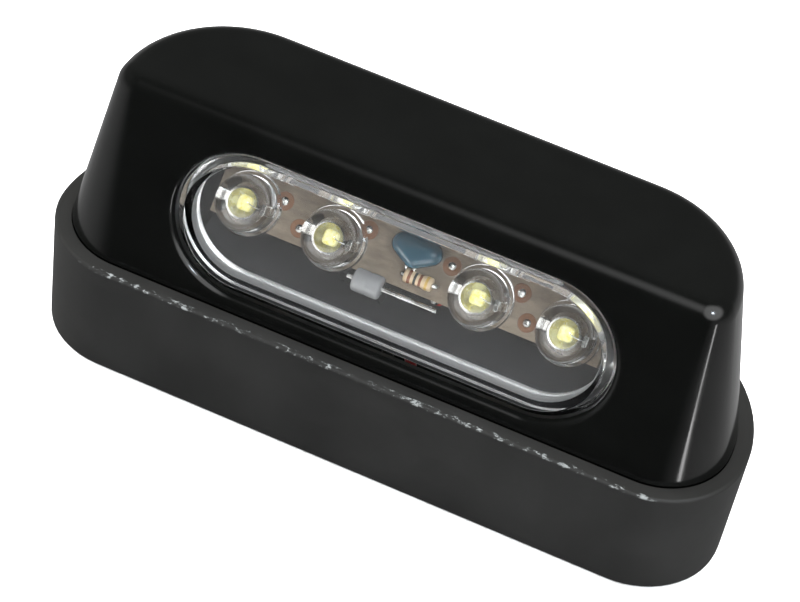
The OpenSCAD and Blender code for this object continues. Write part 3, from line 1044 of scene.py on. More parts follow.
@dataclass
class Boot:
    """The soft boot: a tray with a narrow rim round the hood."""

    sizes: LampSizes
    finish: SoftRubber
    edge_steps: int = 4
    foot_edge: float = 0.35

    def build(self) -> bpy.types.Object:
        """Model the tray through its outlines, then cut the holes in its floor.

        Returns:
            The boot.
        """
        s = self.sizes
        plan = s.boot_plan()
        foot = s.hood_plan(0)
        rings: list[tuple[Plan, float]] = []
        for i in range(self.edge_steps + 1):
            turn = math.pi / 2 * i / self.edge_steps
            inset = s.boot_draft + self.foot_edge * (1 - math.sin(turn))
            rings.append((plan.grown(-inset), self.foot_edge * (1 - math.cos(turn))))
        for i in range(self.edge_steps + 1):
            turn = math.pi / 2 * i / self.edge_steps
            inset = s.rim_edge * (1 - math.cos(turn))
            rings.append((plan.grown(-inset), s.boot_h - s.rim_edge * (1 - math.sin(turn))))
        lip = 0.12
        rings.append((foot.grown(lip), s.boot_h))
        rings.append((foot.grown(lip * 0.3), s.boot_h - lip * 0.3))
        rings.append((foot, s.boot_h - lip))
        rings.append((foot, s.floor_t))
        boot = Bench.skin("boot_sleeve", rings)
        past = 1.0
        holes = [(side.value * s.fixing_x, s.ends_y, s.fixing_hole_r) for side in Side]
        holes.append((0.0, s.gland_y, s.gland_r + s.small_play))
        for x, y, radius in holes:
            drill = Bench.turned("drill", [(radius, -past), (radius, s.floor_t + past)], 64,
                                 Matrix.Translation(Vector((x, y, 0)) * MM))
            Bench.combine(boot, drill, "DIFFERENCE")
        Bench.smooth(boot, 40)
        return boot

    def dress(self, boot: bpy.types.Object) -> None:
        """Give the boot its rubber."""
        boot.data.materials.append(self.finish.build())
        Bench.deliver(boot, "boot_rubber", "base_boot")


@dataclass
class Hood:
    """The glossy hood: a moulded shell with a slanted, lipped window and a skirt in the boot."""

    sizes: LampSizes
    finish: MouldedPlastic
    edge_start: float = 10.0
    witness_gap: float = 0.6
    witness_w: float = 0.06
    witness_t: float = 0.02
    edge_steps: int = 12
    lip_steps: int = 6

    def outer(self) -> bpy.types.Object:
        """The outer form, from the bottom of the skirt to the roof.

        Returns:
            The closed outer form.
        """
        s = self.sizes
        foot = s.hood_plan(0)
        shoulder = 0.12
        rings = [
            (foot.grown(-s.skirt_play), s.floor_t),
            (foot.grown(-s.skirt_play), s.foot_z - shoulder),
            (foot.grown(-s.skirt_play * 0.3), s.foot_z - shoulder * 0.3),
            (foot, s.foot_z + shoulder),
        ]
        start = math.radians(self.edge_start)
        edge_z = s.lamp_h - s.roof_edge_r * (1 - math.sin(start))
        share = (edge_z - s.foot_z) / s.hood_rise
        for i in range(self.edge_steps + 1):
            turn = start + (math.pi / 2 - start) * i / self.edge_steps
            inset = s.roof_edge_r * (math.cos(start) - math.cos(turn))
            rings.append((s.hood_plan(share, inset), s.lamp_h - s.roof_edge_r * (1 - math.sin(turn))))
        return Bench.skin("hood_shell", rings)

    def hollow(self, wall: float, roof_t: float) -> bpy.types.Object:
        """A form that stays inside the outer form and reaches below the skirt.

        Args:
            wall: Distance from the outer form at the sides, mm.
            roof_t: Distance from the roof, mm.

        Returns:
            The form.
        """
        s = self.sizes
        corner = 0.6
        roof_z = s.lamp_h - roof_t
        share = (roof_z - corner - s.foot_z) / s.hood_rise
        rings = [
            (s.hood_plan(0, s.skirt_play + wall), s.floor_t - 1.0),
            (s.hood_plan(0, s.skirt_play + wall), s.foot_z - 0.2),
            (s.hood_plan(0, wall), s.foot_z),
            (s.hood_plan(share, wall), roof_z - corner),
            (s.hood_plan(share, wall + corner * 0.3), roof_z - corner * 0.3),
            (s.hood_plan(share, wall + corner), roof_z),
        ]
        return Bench.skin("hood_hollow", rings)

    def window(self) -> bpy.types.Object:
        """The cutter for the window, flared by a quarter round at the face.

        Returns:
            The cutter, still to be subtracted.
        """
        s = self.sizes
        opening = stadium(s.lens_l + 2 * s.lens_gap, s.lens_w + 2 * s.lens_gap)
        rings = [(opening, -s.face_wall - 1.0)]
        for i in range(self.lip_steps + 1):
            turn = math.pi / 2 * i / self.lip_steps
            rings.append((opening.grown(s.lip_r * (1 - math.cos(turn))), -s.lip_r * (1 - math.sin(turn))))
        rings.append((opening.grown(s.lip_r + 0.05), 1.0))
        return Bench.skin("window_cutter", rings, s.on_face(s.lens_s))

    def bosses(self, hood: bpy.types.Object) -> None:
        """Add the two bosses for the threaded inserts and bore them.

        Args:
            hood: The hood's shell.
        """
        s = self.sizes
        for side in Side:
            place = Matrix.Translation(Vector((side.value * s.fixing_x, s.ends_y, 0)) * MM)
            boss = Bench.turned("boss", [(s.boss_r, s.floor_t), (s.boss_r, s.lamp_h)], 48, place)
            Bench.combine(boss, self.hollow(s.hood_wall / 2, s.roof_t * 0.6), "INTERSECT")
            Bench.combine(hood, boss, "UNION")
            bore_profile = [(s.insert_r, s.floor_t - 1), (s.insert_r, s.floor_t + s.insert_l)]
            bore = Bench.turned("bore", bore_profile, 48, place)
            Bench.combine(hood, bore, "DIFFERENCE")

    def witness_lines(self, hood: bpy.types.Object) -> None:
        """Add the fine mould line that runs down from each end of the window.

        Args:
            hood: The hood's shell.
        """
        s = self.sizes
        x = s.lens_l / 2 + s.lens_gap + self.witness_gap
        for side in Side:
            low = (side.value * x - self.witness_w / 2, 0.5, -0.3)
            high = (side.value * x + self.witness_w / 2, s.lens_s - 1.2, self.witness_t)
            Bench.combine(hood, Bench.box("witness", low, high, s.on_face(0)), "UNION")

    def build(self) -> bpy.types.Object:
        """Model the shell: outer form, hollow, bosses, mould lines and window.

        Returns:
            The hood.
        """
        s = self.sizes
        hood = self.outer()
        Bench.combine(hood, self.hollow(s.hood_wall, s.roof_t), "DIFFERENCE")
        self.bosses(hood)
        self.witness_lines(hood)
        Bench.combine(hood, self.window(), "DIFFERENCE")
        Bench.smooth(hood, 35)
        return hood

    def dress(self, hood: bpy.types.Object) -> None:
        """Give the hood its gloss."""
        hood.data.materials.append(self.finish.build())
        Bench.deliver(hood, "hood_gloss", "hood")


@dataclass
class Lens:
    """The clear lens: a cup with a bevelled front and a flange behind the wall."""

    sizes: LampSizes
    finish: ClearPlastic
    sides: ClearPlastic
    edge: float = 0.08

    def build(self) -> bpy.types.Object:
        """Model the cup through its outlines, from the front to the inside.

        Returns:
            The lens.
        """
        s = self.sizes
        front = stadium(s.lens_l, s.lens_w)
        flange_z = -s.flange_depth
        rings = [
            (front.grown(-s.lens_bevel), 0.0),
            (front, -s.lens_bevel),
            (front, flange_z),
            (front.grown(s.flange_w), flange_z),
            (front.grown(s.flange_w), flange_z - s.flange_t),
            (front, flange_z - s.flange_t),
            (front, -s.cup_depth),
            (front.grown(-s.cup_wall), -s.cup_depth),
            (front.grown(-s.cup_wall), -s.lens_t),
        ]
        lens = Bench.skin("lens_cup", rings, s.on_face(s.lens_s))
        Bench.modify(lens, "BEVEL", width=self.edge * MM, segments=2, limit_method="ANGLE",
                     angle_limit=math.radians(30))
        Bench.smooth(lens, 30)
        return lens

    def dress(self, lens: bpy.types.Object) -> None:
        """Give the lens its clear faces and frosted side walls, and let light through.

        Args:
            lens: The cup that was modelled.
        """
        lens.data.materials.append(self.finish.build())
        lens.data.materials.append(self.sides.build())
        into = self.sizes.on_face(self.sizes.lens_s).inverted()
        for face in lens.data.polygons:
            wall = abs((into.to_3x3() @ face.normal).z) < 0.5
            face.material_index = int(wall and (into @ face.center).z < -self.sizes.lens_bevel * MM)
        lens.visible_shadow = False
        Bench.deliver(lens, "lens_clear", "lens")


@dataclass
class LightSet:
    """Four round lights: a clear body cast round a metal frame, with a chip in its cup."""

    sizes: LampSizes
    clear: ClearPlastic
    metal: PlatedMetal
    phosphor: Phosphor
    dome_steps: int = 20
    edge: float = 0.08
    cup_top: float = 2.5
    cup_h: float = 1.0
    cup_floor: float = 1.95
    chip_side: float = 0.78
    chip_t: float = 0.25
    post_drop: float = 0.8
    anvil_drop: float = 0.3
    frame_edge: float = 0.05
    bond_r: float = 0.03

    def body(self) -> bpy.types.Object:
        """The clear body, turned from its foot to the top of its dome.

        Returns:
            The body, standing at the origin.
        """
        s = self.sizes
        edge = self.edge
        rise = s.light_h - s.light_r
        profile = [
            (0, 0), (s.light_flange_r - edge, 0), (s.light_flange_r, edge),
            (s.light_flange_r, s.light_flange_t - edge), (s.light_flange_r - edge, s.light_flange_t),
            (s.light_r + edge, s.light_flange_t), (s.light_r, s.light_flange_t + edge), (s.light_r, rise),
        ]
        for i in range(1, self.dome_steps + 1):
            turn = math.pi / 2 * i / self.dome_steps
            profile.append((s.light_r * math.cos(turn), rise + s.light_r * math.sin(turn)))
        body = Bench.turned("clear_body", profile, 64)
        Bench.smooth(body, 50)
        body.data.materials.append(self.clear.build())
        return body

    def frame(self) -> bpy.types.Object:
        """The metal frame: reflector cup, two legs, the web, the anvil and the bond wire.

        Returns:
            The frame, standing at the origin.
        """
        s = self.sizes
        rim = 0.1
        profile = [
            (0, self.cup_top - self.cup_h), (s.reflector_r - rim / 2, self.cup_top - self.cup_h),
            (s.reflector_r, self.cup_top - self.cup_h + rim / 2), (s.reflector_r, self.cup_top),
            (s.reflector_r - rim, self.cup_top), (s.reflector_r - rim * 3, self.cup_floor), (0, self.cup_floor),
        ]
        cup = Bench.turned("cup", profile, 48)
        half = s.leg_w / 2
        foot = -s.board_t - s.leg_out
        post_x = s.leg_pitch / 2
        post_top = self.cup_top - self.post_drop
        post = Bench.box("post", (-post_x - half, -half, foot), (-post_x + half, half, post_top))
        web = Bench.box("web", (-post_x, -half, self.cup_top - self.cup_h), (-s.reflector_r / 2, half, post_top))
        anvil = Bench.box("anvil", (post_x - half, -half, foot), (post_x + half, half, self.cup_top - self.anvil_drop))
        with Bench.editing(anvil, "FACE"):
            Bench.pick(anvil, "faces", lambda f: f.normal.z > 0.9)
            bpy.ops.mesh.extrude_region_move(TRANSFORM_OT_translate={"value": (0.05 * MM, 0, 0.2 * MM)})
            bpy.ops.transform.resize(value=(0.7, 1.5, 1))
        route = [(0.2, 0.1, 2.15), (0.55, 0.05, 2.75), (0.95, 0, 2.75), (post_x, 0, 2.4)]
        bond = Bench.wire("bond", route, self.bond_r)
        for part in (post, web, anvil):
            Bench.modify(part, "BEVEL", width=self.frame_edge * MM, segments=2, limit_method="ANGLE")
        metal = Bench.joined("metal_frame", (cup, post, web, anvil, bond))
        Bench.smooth(metal, 40)
        metal.data.materials.append(self.metal.build())
        return metal

    def chip(self) -> bpy.types.Object:
        """The chip: a small square under a rounded layer of phosphor.

        Returns:
            The chip, standing at the origin.
        """
        half = self.chip_side / 2
        low = self.cup_floor
        chip = Bench.box("chip", (-half, -half, low), (half, half, low + self.chip_t))
        with Bench.editing(chip, "EDGE"):
            Bench.pick(chip, "edges", lambda e: abs(e.verts[0].co.z - e.verts[1].co.z) > self.chip_t * MM / 2)
            bpy.ops.mesh.bevel(offset=0.2 * MM, segments=4)
            bpy.ops.mesh.select_all(action="DESELECT")
            Bench.pick(chip, "edges", lambda e: all(v.co.z > (low + self.chip_t * 0.9) * MM for v in e.verts))
            bpy.ops.mesh.bevel(offset=0.08 * MM, segments=3)
        Bench.smooth(chip, 45)
        chip.data.materials.append(self.phosphor.build())
        return chip

    def build(self) -> None:
        """Model each part of a light once and put a copy in each place."""
        kinds = ((self.body, "light_body", "light_clear"), (self.frame, "light_frame", "light_metal"),
                 (self.chip, "light_chip", "light_phosphor"))
        for make, node, slot in kinds:
            model = make()
            for n, x in enumerate(self.sizes.light_xs, 1):
                piece = Bench.copied(model, f"{model.name}_{n}", self.sizes.on_board(x))
                piece.visible_shadow = slot != "light_clear"
                Bench.deliver(piece, slot, f"{node}_{n}")
            bpy.data.objects.remove(model)


@dataclass
class BoardParts:
    """The circuit board with its pads and solder, and the small parts on it."""

    sizes: LampSizes
    laminate: Laminate
    pad: MouldedPlastic
    tin: PlatedMetal
    coat: MouldedPlastic
    grey: MouldedPlastic
    pads: tuple[tuple[float, float], ...] = (
        (-11.8, 1.3), (-9.8, -0.35), (-4.3, 1.7), (3.3, 1.5), (9.5, 1.6), (10.8, -0.5))
    pad_r: float = 0.8
    pad_hole_r: float = 0.36
    pad_t: float = 0.04
    suppressor_x: float = 0.3
    suppressor_low: float = 0.1
    leg_r: float = 0.14
    resistor_r: float = 0.6
    resistor_l: float = 2.5
    resistor_end: float = 1.0
    back_resistor_r: float = 0.9
    back_resistor_l: float = 4.0
    diode_r: float = 1.2
    diode_l: float = 2.5
    wire_r: float = 0.2

    def board(self) -> None:
        """The board with slightly broken edges, and the pads on its front."""
        s = self.sizes
        board = Bench.refined("circuit_board", "board_panel", 0.06)
        board.data.materials.append(self.laminate.build())
        Bench.deliver(board, "board_laminate", "circuit_board")
        top_r = self.pad_r - self.pad_t
        ring = [(self.pad_hole_r, 0), (self.pad_hole_r, self.pad_t), (top_r, self.pad_t), (self.pad_r, 0)]
        rings = [Bench.turned("pad", ring + ring[:1], 32, s.on_board(x, up, 0.005), True) for x, up in self.pads]
        pads = Bench.joined("board_pads", rings)
        Bench.smooth(pads, 40)
        pads.data.materials.append(self.pad.build())
        Bench.deliver(pads, "board_laminate")

    def solder(self) -> None:
        """Solder: a cone round each leg at the back and a bead in each pad."""
        s = self.sizes
        cone = [(0.85, 0), (0.8, -0.08), (0.5, -0.4), (0.36, -0.8), (0.3, -0.85), (0, -0.85), (0, 0), (0.85, 0)]
        bead = [(0, 0.16), (0.2, 0.13), (0.34, 0.05), (0.36, 0), (0, 0)]
        legs = [x + side.value * s.leg_pitch / 2 for x in s.light_xs for side in Side]
        parts = [Bench.turned("cone", cone, 24, s.on_board(x, 0, -s.board_t - 0.005), True) for x in legs]
        parts += [Bench.turned("bead", bead, 24, s.on_board(x, up, 0.01), True) for x, up in self.pads]
        solder = Bench.joined("solder_joints", parts)
        Bench.smooth(solder, 45)
        solder.data.materials.append(self.tin.build())
        Bench.deliver(solder, "light_metal")

    def suppressor(self) -> None:
        """The dipped part: a smooth drop, broad above and narrow at its legs."""
        s = self.sizes
        coat = Bench.refined("suppressor", "drop", 0.02)
        Bench.modify(coat, "REMESH", mode="VOXEL", voxel_size=0.09 * MM)
        Bench.modify(coat, "SMOOTH", factor=0.5, iterations=4)
        Bench.smooth(coat, 60)
        coat.data.materials.append(self.coat.build())
        low = self.suppressor_low
        legs = []
        for side in Side:
            x = self.suppressor_x + side.value * 0.35
            route = [(x, low + 0.4, 0.9), (x, low - 0.1, 0.8), (x, low - 0.25, 0.4), (x, low - 0.25, -0.2)]
            legs.append(Bench.wire("leg", route, self.leg_r, s.on_board()))
        for leg in legs:
            leg.data.materials.append(self.tin.build())
        Bench.deliver(Bench.joined("dipped_suppressor", [coat, *legs]), "dipped_blue", "suppressor")

    def axial(self, name: str, radius: float, length: float, ends: tuple[float, float], sink: float,
              place: Matrix, body: BandedLacquer | MouldedPlastic) -> bpy.types.Object:
        """A part with wire ends: waisted body, and wires that bend down into the board.

        Args:
            name: Name of the piece.
            radius: Radius of the body's ends, mm.
            length: Length of the body, mm.
            ends: Length of the left and the right wire before the bend, mm.
            sink: How far the wires' ends lie below the body's axis, mm. 0 leaves them straight.
            place: Frame of the body's middle, with its axis along x.
            body: Finish of the body.

        Returns:
            The piece.
        """
        half = length / 2
        soft = radius * 0.25
        waist = radius * 0.88
        profile = [
            (0, -half), (radius - soft, -half), (radius - soft * 0.3, -half + soft * 0.3), (radius, -half + soft),
            (radius, -half + radius), (waist, -half + radius * 1.5), (waist, half - radius * 1.5),
            (radius, half - radius), (radius, half - soft), (radius - soft * 0.3, half - soft * 0.3),
            (radius - soft, half), (0, half),
        ]
        case = Bench.turned("case", profile, 40, place @ Matrix.Rotation(math.pi / 2, 4, "Y"))
        Bench.smooth(case, 50)
        case.data.materials.append(body.build())
        parts = [case]
        for side, reach in zip(Side, ends):
            end = side.value * (half + reach)
            route = [(side.value * (half - 0.1), 0, 0), (end - side.value * 0.15, 0, 0)]
            if sink:
                route += [(end, 0, -math.copysign(0.2, sink)), (end, 0, -sink)]
            else:
                route.append((end, 0, 0))
            wire = Bench.wire("wire", route, self.wire_r, place)
            wire.data.materials.append(self.tin.build())
            parts.append(wire)
        return Bench.joined(name, parts)

    def small_parts(self) -> None:
        """The two resistors and the diode."""
        s = self.sizes
        lift = self.resistor_r + s.small_play
        x = s.middle_half - self.resistor_end - 0.35 - self.resistor_l / 2
        brown, gold = (0.16, 0.05, 0.02), (0.5, 0.32, 0.08)
        beige = (0.55, 0.42, 0.27)
        rings = ((0.16, 0.26, brown), (0.36, 0.45, (0.02, 0.02, 0.02)), (0.55, 0.64, brown), (0.78, 0.87, gold))
        front = BandedLacquer("front resistor", beige, x + s.board_shift, self.resistor_l, rings)
        place = s.on_board(x, self.suppressor_low - s.small_play - self.resistor_r, lift)
        piece = self.axial("front_resistor_body", self.resistor_r, self.resistor_l, (0.3, 0.3), lift, place, front)
        Bench.deliver(piece, "resistor_body", "front_resistor")
        lift = -s.board_t - self.back_resistor_r - s.small_play
        back = BandedLacquer("back resistor", beige, s.board_shift, self.back_resistor_l, rings)
        place = s.on_board(0, s.board_high * 0.65, lift)
        piece = self.axial("back_resistor_body", self.back_resistor_r, self.back_resistor_l, (1.3, 1.3),
                           -self.back_resistor_r - s.small_play - 0.1, place, back)
        Bench.deliver(piece, "resistor_body", "back_resistor")
        lap = self.diode_r / 2
        gap = 0.15
        x = self.diode_l / 2 + gap - s.middle_half
        reach = 2 * (s.middle_half - gap) - self.diode_l
        place = s.on_board(x, -s.board_low - lap, self.diode_r + s.small_play)
        piece = self.axial("diode_case", self.diode_r * 0.85, self.diode_l, (lap, reach), 0, place, self.grey)
        Bench.deliver(piece, "diode_body", "diode")

    def build(self) -> None:
        """Model the board and all that it carries."""
        self.board()
        self.solder()
        self.suppressor()
        self.small_parts()


@dataclass
class Wiring:
    """The two inner leads and the gland that they leave through."""

    sizes: LampSizes
    red: MouldedPlastic
    black: MouldedPlastic
    tin: PlatedMetal
    soft: SoftRubber
    black_up: float = 0.8
    collar_t: float = 1.0
    gland_low: float = 0.4
    edge: float = 0.15
    core_r: float = 0.28
    steps: int = 6

    def lead(self, name: str, side: Side, up: float, cover: MouldedPlastic) -> bpy.types.Object:
        """A lead from the back of the board down to the gland, with its bare end in the board.

        Args:
            name: Name of the piece.
            side: Side of the middle on which it starts.
            up: Height of its start above the row of lights, along the board, mm.
            cover: Finish of its cover.

        Returns:
            The lead.
        """
        s = self.sizes
        x = side.value * (s.middle_half - s.lead_side)
        out = -s.board_t - s.lead_gap - s.lead_r * math.sin(math.radians(s.light_tilt))
        start = s.on_board(x, up, out).translation / MM
        end = Vector((side.value * (s.lead_r + s.lead_gap), s.gland_y, s.plate_top + s.gland_nose_h + s.lead_gap))
        handle_a = start + Vector((0, s.lead_reach, 0))
        handle_b = end + Vector((0, s.lead_reach * 0.3, s.lead_rise))
        route = []
        for i in range(self.steps + 1):
            t = i / self.steps
            route.append((1 - t) ** 3 * start + 3 * t * (1 - t) ** 2 * handle_a
                         + 3 * t * t * (1 - t) * handle_b + t ** 3 * end)
        cover_piece = Bench.wire("cover", route, s.lead_r - 0.01)
        cover_piece.data.materials.append(cover.build())
        core_route = [start + Vector((0, 0.3, 0)), start, s.on_board(x, up, -0.4).translation / MM]
        core = Bench.wire("core", core_route, self.core_r)
        core.data.materials.append(self.tin.build())
        return Bench.joined(name, (cover_piece, core))

    def gland(self) -> bpy.types.Object:
        """The gland: a turned ring with a collar, a tapered nose and soft edges.

        Returns:
            The ring in its place.
        """
        s = self.sizes
        edge = self.edge
        top = s.plate_top
        nose_r = s.cable_r + 0.6
        profile = [
            (s.cable_r + edge, self.gland_low), (s.gland_r - edge, self.gland_low),
            (s.gland_r, self.gland_low + edge), (s.gland_r, top),
            (s.gland_collar_r - edge, top), (s.gland_collar_r, top + edge),
            (s.gland_collar_r, top + self.collar_t - edge), (s.gland_collar_r - edge, top + self.collar_t),
            (s.gland_r, top + self.collar_t), (nose_r, top + s.gland_nose_h - edge),
            (nose_r - edge, top + s.gland_nose_h), (s.cable_r, top + s.gland_nose_h),
            (s.cable_r, self.gland_low + edge),
            (s.cable_r + edge, self.gland_low),
        ]
        gland = Bench.turned("gland_ring", profile, 64, Matrix.Translation(Vector((0, s.gland_y, 0)) * MM), True)
        Bench.smooth(gland, 40)
        gland.data.materials.append(self.soft.build())
        return gland

    def build(self) -> None:
        """Model both leads and the gland."""
        s = self.sizes
        low = -s.board_low + s.lead_gap / 2
        Bench.deliver(self.lead("red_wire", Side.RIGHT, low, self.red), "lead_red", "red_lead")
        Bench.deliver(self.lead("black_wire", Side.LEFT, self.black_up, self.black), "lead_black", "black_lead")
        Bench.deliver(self.gland(), "gland_rubber", "cable_gland")


@dataclass
class Fittings:
    """The base plate, the threaded inserts and the plate screws."""

    sizes: LampSizes
    plate: MouldedPlastic
    brass: PlatedMetal
    steel: PlatedMetal
    thread_pitch: float = 0.7
    thread_depth: float = 0.3
    recess: float = 0.55

    def insert(self) -> bpy.types.Object:
        """A brass insert, turned with a threaded bore and a groove round it.

        Returns:
            The insert, standing at the origin.
        """
        s = self.sizes
        outer = s.insert_r - s.small_play
        groove = 0.25
        top = s.insert_l - s.small_play
        edge = 0.12
        profile = [
            (s.thread_r + self.thread_depth + edge, 0), (outer - edge, 0), (outer, edge),
            (outer, s.insert_l * 0.42), (outer - groove, s.insert_l * 0.42 + groove / 2),
            (outer - groove, s.insert_l * 0.58 - groove / 2), (outer, s.insert_l * 0.58), (outer, top - edge),
            (outer - edge, top), (s.thread_r + self.thread_depth, top),
        ]
        turns = int((top - edge) / self.thread_pitch)
        for i in range(turns, 0, -1):
            z = edge + i * self.thread_pitch
            profile.append((s.thread_r, z - self.thread_pitch * 0.4))
            profile.append((s.thread_r + self.thread_depth, z - self.thread_pitch * 0.9))
        insert = Bench.turned("insert", profile + profile[:1], 64, None, True)
        Bench.smooth(insert, 30)
        insert.data.materials.append(self.brass.build())
        return insert

    def screw(self) -> bpy.types.Object:
        """A countersunk screw with a thread and a cross recess.

        Returns:
            The screw, with its head down at the origin.
        """
        s = self.sizes
        shank = s.screw_r - s.small_play
        cone_h = s.screw_head_r - s.screw_r
        profile = [(0, 0), (s.screw_head_r - 0.1, 0), (s.screw_head_r, 0.08), (shank, cone_h)]
        z = cone_h + 0.2
        while z < s.screw_l - 1.6:
            profile += [(shank * 0.78, z), (shank, z + 0.25), (shank, z + 0.32)]
            z += 0.6
        profile += [(shank * 0.78, z), (0.25, s.screw_l - 0.4), (0, s.screw_l - 0.3)]
        screw = Bench.turned("screw", profile, 48)
        for width, depth in ((self.recess, 2.2), (2.2, self.recess)):
            slot = Bench.box("slot", (-width / 2, -depth / 2, -1), (width / 2, depth / 2, 0.7))
            Bench.combine(screw, slot, "DIFFERENCE")
        Bench.smooth(screw, 30)
        screw.data.materials.append(self.steel.build())
        return screw

    def build(self) -> None:
        """Model the plate, and put an insert and a screw on each side."""
        s = self.sizes
        plate = Bench.refined("base_plate", "closing_plate", 0.12)
        plate.data.materials.append(self.plate.build())
        Bench.deliver(plate, "plate_plastic", "base_plate")
        insert, screw = self.insert(), self.screw()
        for side in Side:
            end = side.name.lower()
            place = Matrix.Translation(Vector((side.value * s.fixing_x, s.ends_y, s.floor_t)) * MM)
            piece = Bench.copied(insert, f"brass_insert_{end}", place)
            Bench.deliver(piece, "insert_brass", f"thread_insert_{end}")
            place = Matrix.Translation(Vector((side.value * s.plate_screw_x, s.plate_screw_y, s.floor_t)) * MM)
            piece = Bench.copied(screw, f"cross_screw_{end}", place)
            Bench.deliver(piece, "screw_steel", f"plate_screw_{end}")
        for model in (insert, screw):
            bpy.data.objects.remove(model)


@dataclass
class CarriedNodes:
    """Solids that keep their own shape and get a finish."""

    finishes: dict[str, SoftRubber] = field(default_factory=dict)

    def dress(self) -> None:
        """Assign each node's finish."""
        for name, finish in self.finishes.items():
            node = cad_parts[name]
            node.data.materials.clear()
            node.data.materials.append(finish.build())


@dataclass(frozen=True)
class SoftBox:
    """A rectangular light that faces the lamp, with its distance and size in metres."""

    name: str
    toward: Triple
    distance: float
    size: tuple[float, float]
    power: float
    colour: Triple = (1.0, 1.0, 1.0)
    mirrored: bool = False

    def build(self) -> bpy.types.Object:
        """Create the light.

        Returns:
            The light, which shows in gloss and in clear pieces only if it is mirrored.
        """
        data = bpy.data.lights.new(self.name, "AREA")
        data.shape = "RECTANGLE"
        data.size, data.size_y = self.size
        data.energy = self.power
        data.color = self.colour
        light = bpy.data.objects.new(self.name, data)
        away = Vector(self.toward).normalized()
        turn = away.to_track_quat("Z", "Y").to_matrix().to_4x4()
        light.matrix_world = Matrix.Translation(away * self.distance) @ turn
        bpy.context.scene.collection.objects.link(light)
        light.visible_glossy = self.mirrored
        light.visible_transmission = self.mirrored
        return light


